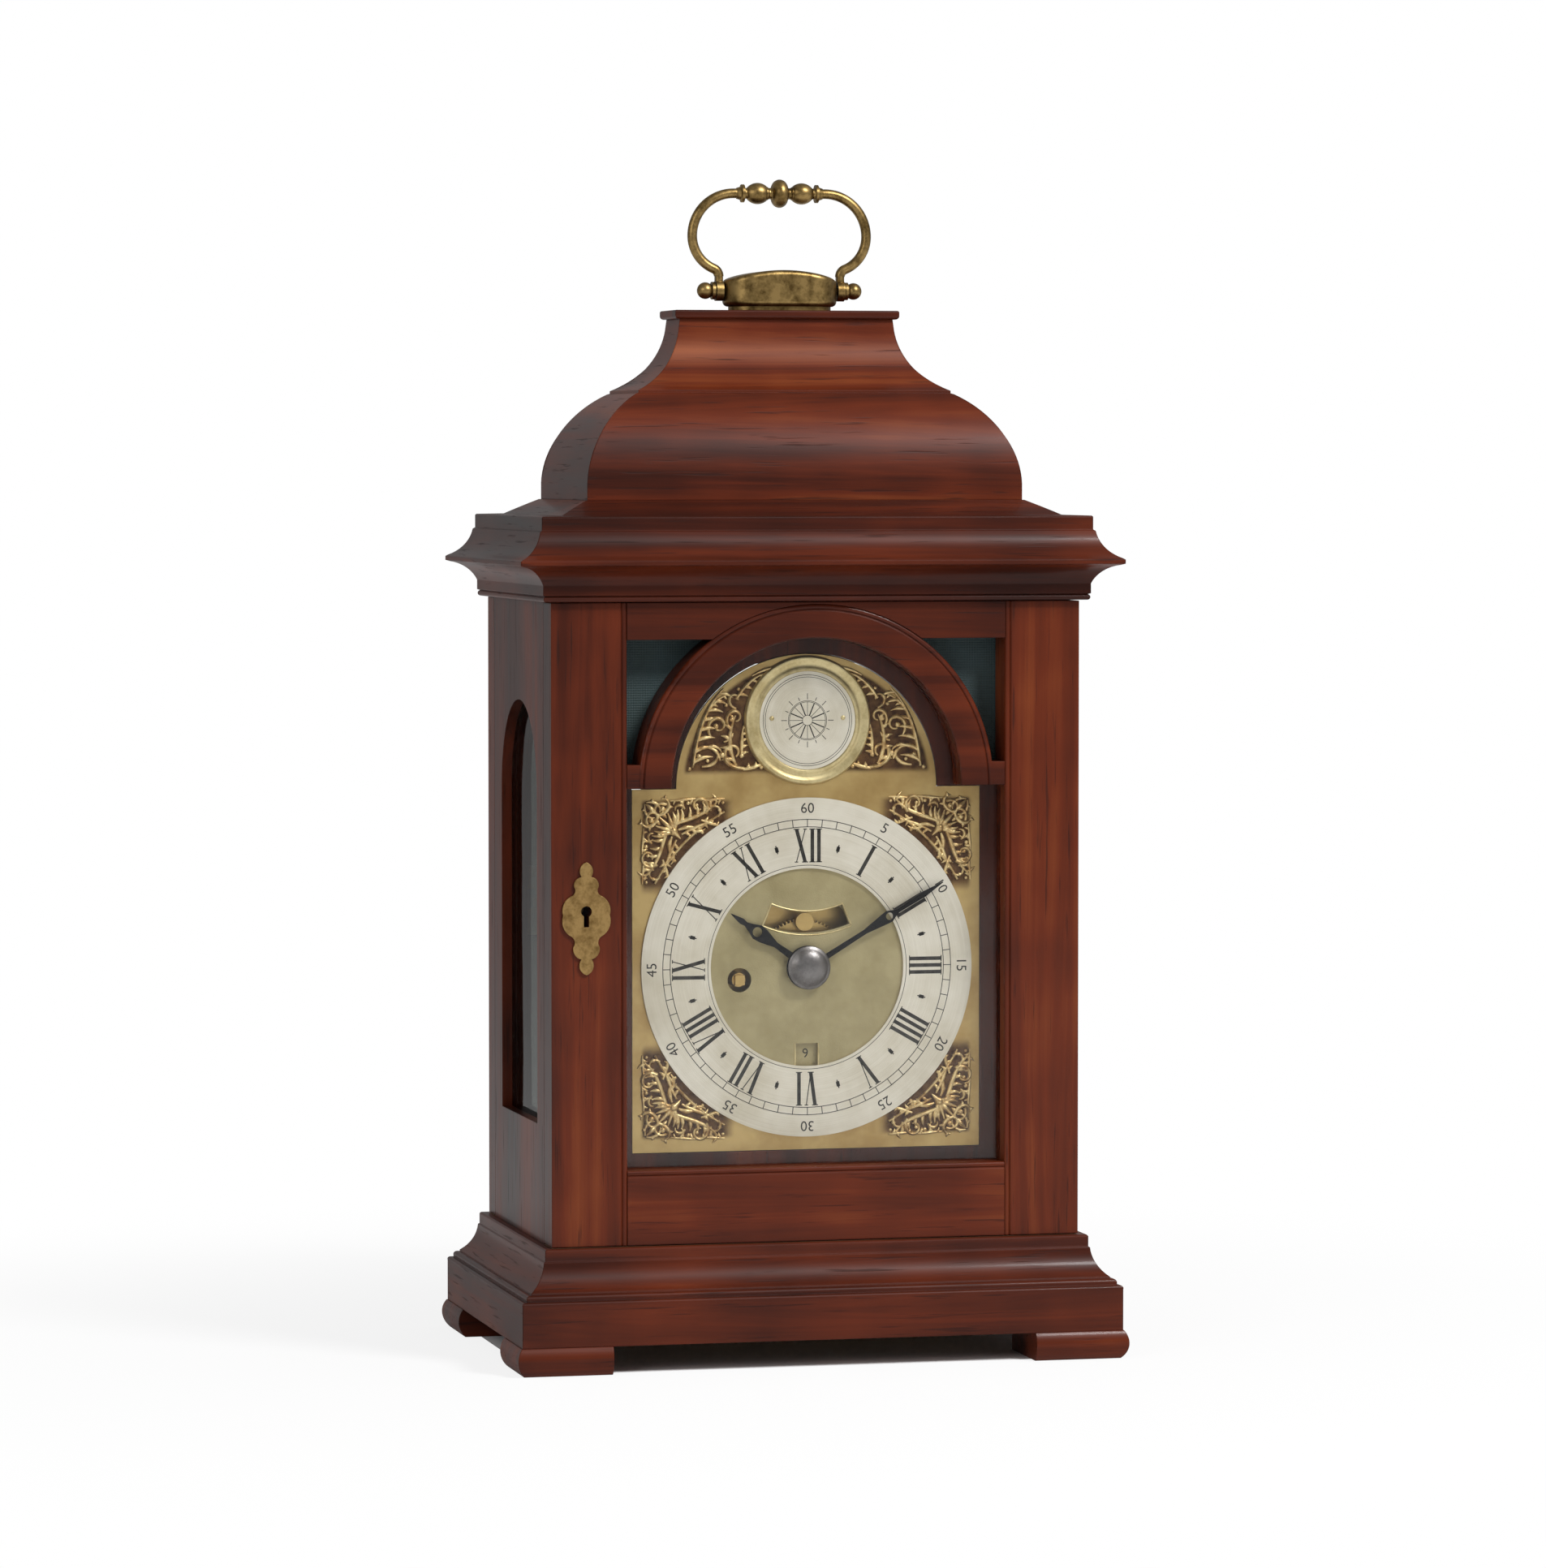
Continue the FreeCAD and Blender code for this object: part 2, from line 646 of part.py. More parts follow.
def strike_shapes():
    """Brass strike plates let into the left side board's inner face."""
    plates = []
    z = BODY_Z + LOCK_HEIGHT_ABOVE_BASE
    for door_face, way in ((DOOR_BACK, 1), (BACK_DOOR_FRONT, -1)):
        y0, y1 = sorted((door_face + way * (PART_GAP + 0.9), door_face + way * (LOCK_DEPTH + 4.0)))
        x0 = -SIDE_INNER - STRIKE
        plates.append(box(x0, -SIDE_INNER, y0, y1, z - LOCK_HEIGHT / 2, z + LOCK_HEIGHT / 2))
    return plates


def escutcheon_outline(x, z):
    """A lobed outline: pointed top and foot, waisted between three lobes."""
    half_w = ESCUTCHEON_WIDTH / 2
    half_h = ESCUTCHEON_HEIGHT / 2
    right = [
        (0.28, 0.86, 0.20, 0.74), (0.42, 0.70, 0.52, 0.56), (0.50, 0.46, 0.66, 0.40),
        (0.95, 0.28, 1.00, 0.06), (0.98, -0.16, 0.70, -0.30), (0.52, -0.38, 0.56, -0.50),
        (0.46, -0.66, 0.22, -0.72), (0.30, -0.86, 0.0, -1.0),
    ]
    steps = [(x, z + half_h)]
    for am, bm, a, b in right:
        steps.append((x + am * half_w, z + bm * half_h, x + a * half_w, z + b * half_h))
    corners = [(0.0, 1.0)] + [step[2:] for step in right]
    for n in range(len(right) - 1, -1, -1):
        am, bm = right[n][:2]
        a, b = corners[n]
        steps.append((x - am * half_w, z + bm * half_h, x - a * half_w, z + b * half_h))
    return steps


def escutcheons():
    x = keyhole_x()
    z = BODY_Z + LOCK_HEIGHT_ABOVE_BASE
    for name, y0 in (("front_escutcheon", FRONT - ESCUTCHEON), ("back_escutcheon", HALF_D)):
        plate = slab_y(escutcheon_outline(x, z), y0, y0 + ESCUTCHEON)
        write(name, plate.cut(key_slot(x, y0 - 1, y0 + ESCUTCHEON + 1)))


# ---------------------------------------------------------------- front door
def stile_section(inner, outer):
    """Plan section of a stile with a scratched bead along its inner edge, in |x| and y."""
    bead_end = inner + BEAD_WIDTH
    return [
        (inner, DOOR_BACK), (inner, FRONT + 1.0),
        (inner + 0.33, FRONT + 0.3, bead_end / 2 + inner / 2, FRONT),
        (bead_end - 0.35, FRONT + 0.2, bead_end, FRONT + BEAD_QUIRK), (bead_end + 0.6, FRONT), (outer, FRONT),
        (outer, DOOR_BACK),
    ]


def break_arch(half, sill, radius, spring, y0, y1):
    """The opening's shape: a rectangle with a smaller half round on its head."""
    steps = [
        (-half, sill), (half, sill), (half, spring), (radius, spring),
        (0, spring + radius, -radius, spring), (-half, spring),
    ]
    return slab_y(steps, y0, y1)


def glass_rebate(shrink):
    """Space behind the door's lip that the glass and its putty fill."""
    grow = REBATE - shrink
    return break_arch(
        STILE_INNER + grow, SILL_Z - grow, ARCH_INNER_RADIUS + grow, ARCH_Z + grow,
        FRONT + DOOR_LIP, DOOR_BACK + 1,
    )


def front_door_frame():
    z0 = BODY_Z + DOOR_GAP
    z1 = CORNICE_Z - DOOR_GAP
    section = stile_section(STILE_INNER, HALF_W)
    right = face_of(section, lambda x, y: Vector(x, y, z0)).extrude(Vector(0, 0, z1 - z0))
    rebate = glass_rebate(0)
    right = right.cut(rebate)
    left = right.mirror(Vector(0, 0, 0), Vector(1, 0, 0))
    right = right.cut(door_hinge_slots(front_pin_y(), DOOR_BACK, -1))
    left = left.cut(key_slot(keyhole_x(), FRONT - 1, DOOR_BACK + 1))
    write("front_door_stiles", left, right)
    bead = [
        (DOOR_BACK, SILL_Z), (FRONT + 1.0, SILL_Z),
        (FRONT + 0.3, SILL_Z - 0.33, FRONT, SILL_Z - BEAD_WIDTH / 2),
        (FRONT + 0.2, SILL_Z - BEAD_WIDTH + 0.35, FRONT + BEAD_QUIRK, SILL_Z - BEAD_WIDTH),
        (FRONT, SILL_Z - BEAD_WIDTH - 0.6), (FRONT, z0), (DOOR_BACK, z0),
    ]
    rail = face_of(bead, lambda y, z: Vector(-STILE_INNER, y, z)).extrude(Vector(2 * STILE_INNER, 0, 0))
    write("front_door_bottom_rail", rail.cut(rebate))
    head = box(-STILE_INNER, STILE_INNER, FRONT, DOOR_BACK, HEAD_Z, z1)
    head = head.cut(rod_y(0, ARCH_Z, ARCH_OUTER_RADIUS, FRONT - 1, DOOR_BACK + 1))
    write("front_door_top_rail", head)
    arch = door_arch().cut(rebate)
    write("front_door_arch", arch.common(box(-HALF_W, HALF_W, FRONT, DOOR_BACK, ARCH_Z, z1)))


def door_arch():
    """Arched band with a bead on its outer edge, and the blocks that it springs from."""
    outer = ARCH_OUTER_RADIUS
    bead_start = outer - BEAD_WIDTH
    section = [
        (ARCH_INNER_RADIUS, DOOR_BACK), (ARCH_INNER_RADIUS, FRONT + 0.8),
        (ARCH_INNER_RADIUS + 0.25, FRONT + 0.25, ARCH_INNER_RADIUS + 0.8, FRONT), (bead_start - 0.6, FRONT),
        (bead_start, FRONT + BEAD_QUIRK), (bead_start + 0.35, FRONT + 0.2, outer - BEAD_WIDTH / 2, FRONT),
        (outer - 0.33, FRONT + 0.3, outer, FRONT + 1.0), (outer, DOOR_BACK),
    ]
    face = face_of(section, lambda x, y: Vector(x, y, ARCH_Z))
    band = face.revolve(Vector(0, 0, ARCH_Z), Vector(0, -1, 0), 180)
    block_top = ARCH_Z + SPRING_BLOCK_HEIGHT
    block = box(ARCH_INNER_RADIUS + 1, STILE_INNER, FRONT + 0.4, DOOR_BACK, ARCH_Z, block_top)
    block = block.cut(rod_y(0, ARCH_Z, ARCH_INNER_RADIUS + 2, FRONT - 1, DOOR_BACK + 1))
    block = block.cut(rod_y(0, ARCH_Z, bead_start + 1.0, FRONT - 1, FRONT + 1.4))
    return fused(band, *mirrored_pair(block))


def front_glazing():
    near = FRONT + DOOR_LIP
    grow = REBATE - GLASS_GAP
    glass = break_arch(
        STILE_INNER + grow, SILL_Z - grow, ARCH_INNER_RADIUS + grow, ARCH_Z + grow, near, near + GLASS
    )
    write("front_glass", glass)
    bead = break_arch(
        STILE_INNER + grow, SILL_Z - grow, ARCH_INNER_RADIUS + grow, ARCH_Z + grow,
        near + GLASS, near + GLASS + PUTTY,
    )
    inner = break_arch(STILE_INNER, SILL_Z, ARCH_INNER_RADIUS, ARCH_Z, near, DOOR_BACK)
    write("front_glass_beads", bead.cut(inner))


def quadrant_silks():
    """Silk panels pinned over the two corner openings, on the back of the door."""
    lap = 3.0
    low = ARCH_Z + SPRING_BLOCK_HEIGHT - lap
    panel = box(0, STILE_INNER + lap, DOOR_BACK, DOOR_BACK + SILK, low, HEAD_Z + lap)
    panel = panel.cut(rod_y(0, ARCH_Z, ARCH_OUTER_RADIUS - lap, DOOR_BACK - 1, DOOR_BACK + SILK + 1))
    write("corner_silks", *mirrored_pair(panel))


# ---------------------------------------------------------------- back door
def back_door():
    z0 = BODY_Z + DOOR_GAP
    z1 = CORNICE_Z - DOOR_GAP
    near = BACK_DOOR_FRONT
    inner = HALF_W - BACK_STILE
    sill = z0 + BACK_RAIL
    head = z1 - BACK_RAIL
    recess = HALF_D - BACK_LIP
    rebate = box(-inner - REBATE, inner + REBATE, near - 1, recess, sill - REBATE, head + REBATE)
    stile = box(inner, HALF_W, near, HALF_D, z0, z1).cut(rebate)
    left = stile.mirror(Vector(0, 0, 0), Vector(1, 0, 0)).cut(key_slot(keyhole_x(), near - 1, HALF_D + 1))
    right = stile.cut(door_hinge_slots(back_pin_y(), BACK_DOOR_FRONT, 1))
    low_rail = box(-inner, inner, near, HALF_D, z0, sill).cut(rebate)
    high_rail = box(-inner, inner, near, HALF_D, head, z1).cut(rebate)
    write("back_door_frame", left, right, low_rail, high_rail)
    grow = REBATE - GLASS_GAP
    glass = box(-inner - grow, inner + grow, recess - GLASS, recess, sill - grow, head + grow)
    write("back_glass", glass)
    bead = box(-inner - grow, inner + grow, recess - GLASS - PUTTY, recess - GLASS, sill - grow, head + grow)
    bead = bead.cut(box(-inner, inner, near, recess, sill, head))
    write("back_glass_beads", bead)


# ---------------------------------------------------------------- handle
def stadium(half_length, half_depth, z0, z1):
    flat = half_length - half_depth
    steps = [
        (-flat, -half_depth), (flat, -half_depth), (half_length, 0, flat, half_depth),
        (-flat, half_depth), (-half_length, 0, -flat, -half_depth),
    ]
    return face_of(steps, lambda x, y: Vector(x, y, z0)).extrude(Vector(0, 0, z1 - z0))


def handle_plate():
    half = PLATE_LENGTH / 2
    depth = PLATE_DEPTH / 2
    z0 = HANDLE_Z + PLATE_FOOT
    z1 = z0 + PLATE_WALL + PLATE_CROWN
    body = stadium(half, depth, z0, z1)
    crown_radius = (half * half + PLATE_CROWN * PLATE_CROWN) / (2 * PLATE_CROWN)
    body = body.common(rod_y(0, z1 - crown_radius, crown_radius, -PLATE_DEPTH, PLATE_DEPTH))
    lower = [edge for edge in body.Edges if edge.BoundBox.ZMax < z0 + 0.01]
    body = body.makeFillet(min(2.4, 0.2 * PLATE_WALL), lower)
    upper = [edge for edge in body.Edges if edge.BoundBox.ZMin > z0 + 0.7 * PLATE_WALL]
    body = body.makeFillet(min(2.2, 0.2 * PLATE_WALL), upper)
    flange = stadium(half - 2.5, depth - 2.2, HANDLE_Z, z0)
    plate = fused(body, flange)
    z = HANDLE_Z + PIVOT_HEIGHT
    for sign in (-1, 1):
        x0, x1 = sorted((sign * (half - 7.0), sign * (half + 1)))
        plate = plate.cut(rod_x(0, z, PIVOT_PIN, x0, x1))
        x = sign * HANDLE_BOLT_SPACING / 2
        plate = plate.cut(rod_z(x, 0, HANDLE_BOLT, HANDLE_Z - 1, HANDLE_Z + 6))
    write("handle_plate", plate)


def handle_pivots_and_bolts():
    """Pins with ball ends that hold the bail, and the bolts that hold the plate from inside the bell."""
    half = PLATE_LENGTH / 2
    z = HANDLE_Z + PIVOT_HEIGHT
    eye_end = half + PART_GAP + EYE_WIDTH + PART_GAP
    ball = eye_end + 1.2 + 0.8 * POMMEL_RADIUS
    pin = rod_x(0, z, PIVOT_PIN, half - 7.0, ball)
    collar = rod_x(0, z, EYE_RADIUS - 0.6, eye_end, eye_end + 1.4)
    pommel = Part.makeSphere(POMMEL_RADIUS, Vector(ball, 0, z))
    x = HANDLE_BOLT_SPACING / 2
    bolt = rod_z(x, 0, HANDLE_BOLT, CAP_Z - 6.0, HANDLE_Z + 5.5)
    nut = rod_z(x, 0, HANDLE_NUT, CAP_Z - HANDLE_NUT_THICKNESS, CAP_Z)
    pivots = mirrored_pair(fused(pin, collar, pommel))
    write("handle_pivots_and_bolts", *pivots, *mirrored_pair(fused(bolt, nut)))


def polar(centre, radius, degrees):
    angle = math.radians(degrees)
    return (centre[0] + radius * math.cos(angle), centre[1] + radius * math.sin(angle))


def bail_path():
    """Half of the bail's centre line in X and Z, from the eye to the grip, in tangent arcs."""
    pivot = HANDLE_Z + PIVOT_HEIGHT
    foot_x = PLATE_LENGTH / 2 + PART_GAP + EYE_WIDTH / 2
    foot = (foot_x, pivot + 1.5)
    rise = (foot_x, pivot + BAIL_FOOT_RISE)
    bend_centre = (foot_x + BAIL_BEND, rise[1])
    bend_end = polar(bend_centre, BAIL_BEND, 90 + BAIL_FLARE)
    lean = math.radians(BAIL_FLARE)
    flare_radius = (BAIL_HALF_WIDTH - bend_end[0]) / (1 - math.sin(lean))
    flare_centre = (BAIL_HALF_WIDTH - flare_radius, bend_end[1] + flare_radius * math.cos(lean))
    shoulder = (BAIL_HALF_WIDTH, flare_centre[1])
    top = pivot + BAIL_HEIGHT
    shoulder_radius = top - shoulder[1]
    shoulder_centre = (BAIL_HALF_WIDTH - shoulder_radius, shoulder[1])
    at = lambda point: Vector(point[0], 0, point[1])
    edges = [
        Part.makeLine(at(foot), at(rise)),
        Part.Arc(at(rise), at(polar(bend_centre, BAIL_BEND, 135 + BAIL_FLARE / 2)), at(bend_end)).toShape(),
        Part.Arc(
            at(bend_end), at(polar(flare_centre, flare_radius, (BAIL_FLARE - 90) / 2)), at(shoulder)
        ).toShape(),
        Part.Arc(
            at(shoulder), at(polar(shoulder_centre, shoulder_radius, 45)), at((shoulder_centre[0], top))
        ).toShape(),
    ]
    grip_end = GRIP_LENGTH / 2 - 2.0
    if shoulder_centre[0] > grip_end + 0.1:
        edges.append(Part.makeLine(at((shoulder_centre[0], top)), at((grip_end, top))))
    return Part.Wire(edges), foot


def handle_bail():
    wire, foot = bail_path()
    circle = Part.Wire([Part.makeCircle(BAIL_WIRE, Vector(foot[0], 0, foot[1]), Vector(0, 0, 1))])
    leg = wire.makePipeShell([circle], True, False)
    pivot = HANDLE_Z + PIVOT_HEIGHT
    eye_start = PLATE_LENGTH / 2 + PART_GAP
    top = pivot + 2 * BAIL_HEIGHT
    above = box(0, 2 * BAIL_HALF_WIDTH, -EYE_RADIUS, EYE_RADIUS, pivot + BAIL_FOOT_RISE, top)
    beside = box(eye_start, eye_start + EYE_WIDTH, -EYE_RADIUS, EYE_RADIUS, pivot, pivot + BAIL_FOOT_RISE)
    leg = leg.common(above.fuse(beside))
    eye = rod_x(0, pivot, EYE_RADIUS, eye_start, eye_start + EYE_WIDTH)
    top = pivot + BAIL_HEIGHT
    half = GRIP_LENGTH / 2
    profile = [
        (0, 0), (0, GRIP_KNOB), (2.6, 0.8 * GRIP_KNOB, 3.4, 2.9),
        (4.4, 2.4, 5.4, 2.9), (6.0, 2.9), (6.0, 3.3),
        (10.8, GRIP_BULB, 14.2, 2.7), (15.0, 2.3, 15.8, 2.7), (15.8, 3.9), (17.0, 3.9), (17.4, 2.9),
        (half, 2.4), (half, 0),
    ]
    grip = turned(profile, Vector(0, 0, top), Vector(1, 0, 0), Vector(0, 0, 1))
    half_bail = fused(leg, eye, grip)
    bore = rod_x(0, pivot, PIVOT_PIN + RUNNING, eye_start - 1, eye_start + EYE_WIDTH + 1)
    half_bail = half_bail.cut(bore)
    bail = half_bail.fuse(half_bail.mirror(Vector(0, 0, 0), Vector(1, 0, 0))).removeSplitter()
    write("handle_bail", bail)


# ---------------------------------------------------------------- dial
def dial_outline(margin):
    half = DIAL_HALF_WIDTH + margin
    low = DIAL_Z - DIAL_DROP - margin
    spring = DIAL_Z + DIAL_SHOULDER
    radius = DIAL_ARCH_RADIUS + margin
    return [
        (-half, low), (half, low), (half, spring + margin), (radius, spring + margin),
        (0, spring + margin + radius, -radius, spring + margin), (-half, spring + margin),
    ]


def mock_slot(y0, y1):
    """Curved slot that the mock bob swings behind."""
    outer = MOCK_BOB_DROP + SLOT_WIDTH / 2
    inner = MOCK_BOB_DROP - SLOT_WIDTH / 2
    at = lambda radius, degrees: polar((0, VERGE_Z), radius, degrees - 90)
    a = SLOT_HALF_ANGLE
    steps = [
        at(inner, -a), at(outer, -a), at(outer, 0) + at(outer, a),
        at(inner, a), at(inner, 0) + at(inner, -a),
    ]
    steps[0] = steps.pop() if len(steps) > 5 else steps[0]
    return face_of(steps, lambda x, z: Vector(x, y0, z)).extrude(Vector(0, y1 - y0, 0))


def dial_plate():
    y0 = DIAL_FRONT
    y1 = DIAL_BACK
    plate = slab_y(dial_outline(0), y0, y1)
    half = DATE_APERTURE / 2
    z = DIAL_Z - DATE_DROP
    plate = plate.cut(box(-half, half, y0 - 1, y1 + 1, z - half, z + half))
    plate = plate.cut(rod_y(0, DIAL_Z, HOUR_PIPE_RADIUS + 0.8, y0 - 1, y1 + 1))
    plate = plate.cut(rod_y(FUSEE_X, DIAL_Z + FUSEE_Z, WINDING_HOLE, y0 - 1, y1 + 1))
    plate = plate.cut(mock_slot(y0 - 1, y1 + 1))
    write("dial_plate", plate)


def dial_mask():
    y0 = DIAL_FRONT
    board = box(-SIDE_INNER, SIDE_INNER, y0, y0 + MASK_BOARD, BODY_Z, CORNICE_Z)
    board = board.cut(slab_y(dial_outline(GLASS_GAP), y0 - 1, y0 + MASK_BOARD + 1))
    z = BODY_Z + LOCK_HEIGHT_ABOVE_BASE
    reach = LOCK_HEIGHT / 2 + 2.0
    notch = box(-SIDE_INNER, -DIAL_HALF_WIDTH - 4.0, y0 - 1, y0 + MASK_BOARD + 1, z - reach, z + reach)
    write("dial_mask", board.cut(notch))


def dial_rings():
    y1 = DIAL_FRONT
    write("chapter_ring", ring_y(0, DIAL_Z, RING_OUTER_RADIUS, RING_INNER_RADIUS, y1 - RING_THICKNESS, y1))
    z = DIAL_Z + BOSS_RISE
    write("boss_disc", rod_y(0, z, BOSS_DISC_RADIUS - RUNNING, y1 - RING_THICKNESS, y1))


def corner_spandrel():
    """One cast corner, plain under its scrollwork: a square less the chapter ring, with scalloped edges."""
    y1 = DIAL_FRONT
    reach = DIAL_HALF_WIDTH - 2.6
    low = DIAL_Z + 76.6 - 2.6
    gap = RING_OUTER_RADIUS + 1.6
    plate = box(reach - SPANDREL_SIZE, reach, y1 - SPANDREL, y1, low - SPANDREL_SIZE, low)
    plate = plate.cut(rod_y(0, DIAL_Z, gap, y1 - SPANDREL - 1, y1 + 1))
    for share in (0.24, 0.48, 0.72):
        x = reach - share * SPANDREL_SIZE
        z = low - share * SPANDREL_SIZE
        plate = plate.cut(rod_y(reach, z, 1.6, y1 - SPANDREL - 1, y1 + 1))
        plate = plate.cut(rod_y(x, low, 1.6, y1 - SPANDREL - 1, y1 + 1))
    return plate


def gilt_mounts():
    """Spandrels of the corners and the arch, and the ring round the boss."""
    upper = corner_spandrel()
    lower = upper.mirror(Vector(0, 0, DIAL_Z), Vector(0, 0, 1))
    corners = mirrored_pair(upper) + mirrored_pair(lower)
    y1 = DIAL_FRONT
    spring = DIAL_Z + DIAL_SHOULDER
    z = DIAL_Z + BOSS_RISE
    arch = rod_y(0, spring, DIAL_ARCH_RADIUS - 2.0, y1 - SPANDREL, y1)
    arch = arch.common(box(9.0, DIAL_ARCH_RADIUS, y1 - SPANDREL, y1, spring + 6.0, z + 22.0))
    arch = arch.cut(rod_y(0, z, BOSS_RING_RADIUS + 1.0, y1 - SPANDREL - 1, y1 + 1))
    keep = max(arch.Solids, key=lambda solid: solid.Volume)
    ring = ring_y(0, z, BOSS_RING_RADIUS, BOSS_DISC_RADIUS, y1 - BOSS_RING_THICKNESS, y1)
    write("spandrels_and_boss_ring", *corners, *mirrored_pair(keep), ring)


def date_wheel_place():
    distance = TRAIN_MODULE * (DATE_PINION_TEETH + DATE_WHEEL_TEETH) / 2
    return polar((0, DIAL_Z), distance, DATE_WHEEL_ANGLE)


def dial_feet_and_studs():
    """Feet that pin the dial to the front plate, and studs of the date work on the dial's back."""
    pieces = []
    for rise in (DIAL_FOOT_LOW, DIAL_FOOT_HIGH):
        foot_rod = rod_y(DIAL_FOOT_X, DIAL_Z + rise, DIAL_FOOT_RADIUS, DIAL_BACK, PLATE_FRONT)
        pieces += mirrored_pair(foot_rod)
    x, z = date_wheel_place()
    wheel_back = DATE_Y + MOTION_WHEEL
    stud = rod_y(x, z, 1.0, DIAL_BACK, wheel_back + 0.8)
    shoulder = rod_y(x, z, 2.2, DIAL_BACK, DATE_Y - PART_GAP)
    head = rod_y(x, z, 2.0, wheel_back + PART_GAP, wheel_back + 0.9)
    pieces.append(fused(stud, shoulder, head))
    ring_back = DIAL_BACK + PART_GAP + DATE_RING
    for degrees in (45, 135, 225, 315):
        x, z = polar((DATE_RING_OFFSET, DIAL_Z), DATE_RING_OUTER + 1.5 + PART_GAP, degrees)
        stud = rod_y(x, z, 1.5, DIAL_BACK, ring_back + PART_GAP)
        pieces.append(fused(stud, rod_y(x, z, 3.0, ring_back + PART_GAP, ring_back + 1.1)))
    write("dial_feet_and_studs", *pieces)


# ---------------------------------------------------------------- gears
def gear_steps(teeth, module, addendum, dedendum, pitch_share, tip_share):
    """Outline of a wheel as (a, b) points: radial flanks below the pitch circle, sloped above it."""
    pitch_radius = teeth * module / 2
    root = pitch_radius - dedendum * module
    tip = pitch_radius + addendum * module
    step = 2 * math.pi / teeth
    points = []
    for n in range(teeth):
        middle = n * step
        spots = [
            (root, -pitch_share), (pitch_radius, -pitch_share), (tip, -tip_share),
            (tip, tip_share), (pitch_radius, pitch_share), (root, pitch_share),
        ]
        for radius, share in spots:
            angle = middle + share * step / 2
            points.append((radius * math.cos(angle), radius * math.sin(angle)))
    return points


def wheel_steps(teeth, module):
    return gear_steps(teeth, module, 0.9, 1.2, 0.40, 0.10)


def pinion_steps(leaves, module):
    return gear_steps(leaves, module, 0.45, 1.35, 0.32, 0.14)


def gear_y(steps, x, z, y0, y1, turn_degrees):
    """A gear on an arbor along Y. The turn is anticlockwise as seen in X and Z."""
    angle = math.radians(turn_degrees)
    c, s = math.cos(angle), math.sin(angle)
    place = lambda a, b: Vector(x + a * c - b * s, y0, z + a * s + b * c)
    return face_of(steps, place).extrude(Vector(0, y1 - y0, 0))


def crossings(x, z, y0, y1, hub, rim, spokes, width):
    """What is cut out of a wheel between its hub, rim and spokes."""
    ring = ring_y(x, z, rim, hub, y0 - 0.5, y1 + 0.5)
    spoke = box(0, rim + 1, y0 - 1, y1 + 1, -width / 2, width / 2)
    for n in range(spokes):
        bar = spoke.copy()
        bar.rotate(Vector(0, 0, 0), Vector(0, 1, 0), 360.0 * n / spokes)
        bar.translate(Vector(x, 0, z))
        ring = ring.cut(bar)
    return ring


def mesh_turns(x0, z0, x1, z1, first_teeth, second_teeth, first_turn):
    """Turn of the second gear that puts a space where the first has a tooth on the line between them."""
    line = math.degrees(math.atan2(z1 - z0, x1 - x0))
    first_pitch = 360.0 / first_teeth
    phase = ((line - first_turn) / first_pitch) % 1.0
    second_pitch = 360.0 / second_teeth
    return line + 180.0 + (phase + 0.5) * second_pitch


GREAT_DISTANCE = math.hypot(FUSEE_X, FUSEE_Z)
GREAT_MODULE = 2 * GREAT_DISTANCE / (GREAT_TEETH + CENTRE_LEAVES)
CONTRATE_RISE = TRAIN_MODULE * (CENTRE_TEETH + CONTRATE_LEAVES) / 2
CONTRATE_Z = DIAL_Z + CONTRATE_RISE
CONTRATE_RADIUS = TRAIN_MODULE * CONTRATE_TEETH / 2
CROWN_PINION_Z = CONTRATE_Z + CONTRATE_RADIUS
MOTION_DISTANCE = TRAIN_MODULE * MINUTE_TEETH
HOUR_MODULE = 2 * MOTION_DISTANCE / (MINUTE_LEAVES + HOUR_TEETH)
GREAT_Y = INSIDE_FRONT + 2.5
CENTRE_WHEEL_Y = INSIDE_BACK - 6.5
CANNON_Y = PLATE_FRONT - 3.2
HOUR_Y = CANNON_Y - 3.4
DATE_Y = HOUR_Y - 2.8
GREAT_TURN = 0.0
CENTRE_PINION_TURN = mesh_turns(FUSEE_X, FUSEE_Z, 0, 0, GREAT_TEETH, CENTRE_LEAVES, GREAT_TURN)
CENTRE_WHEEL_TURN = 0.0
CONTRATE_PINION_TURN = mesh_turns(0, 0, 0, CONTRATE_RISE, CENTRE_TEETH, CONTRATE_LEAVES, CENTRE_WHEEL_TURN)


def centre_arbor():
    """Centre wheel and pinion on the arbor that carries the minute hand."""
    pinion_y0 = GREAT_Y - 1.0
    pinion_y1 = GREAT_Y + GREAT_WHEEL + 1.0
    pinion = pinion_steps(CENTRE_LEAVES, GREAT_MODULE)
    pinion = gear_y(pinion, 0, DIAL_Z, pinion_y0, pinion_y1, CENTRE_PINION_TURN)
    wheel_y1 = CENTRE_WHEEL_Y + WHEEL
    wheel = wheel_steps(CENTRE_TEETH, TRAIN_MODULE)
    wheel = gear_y(wheel, 0, DIAL_Z, CENTRE_WHEEL_Y, wheel_y1, CENTRE_WHEEL_TURN)
    rim = TRAIN_MODULE * CENTRE_TEETH / 2 - 2.6
    wheel = wheel.cut(crossings(0, DIAL_Z, CENTRE_WHEEL_Y, wheel_y1, 4.5, rim, 4, 2.4))
    hub = rod_y(0, DIAL_Z, 3.0, wheel_y1, wheel_y1 + 1.2)
    arbor = rod_y(0, DIAL_Z, ARBOR, COLLET_Y - 0.5, INSIDE_BACK)
    pivot = rod_y(0, DIAL_Z, PIVOT, INSIDE_BACK - 0.5, PLATE_BACK)
    write("centre_arbor", fused(arbor, pinion, wheel, hub, pivot))


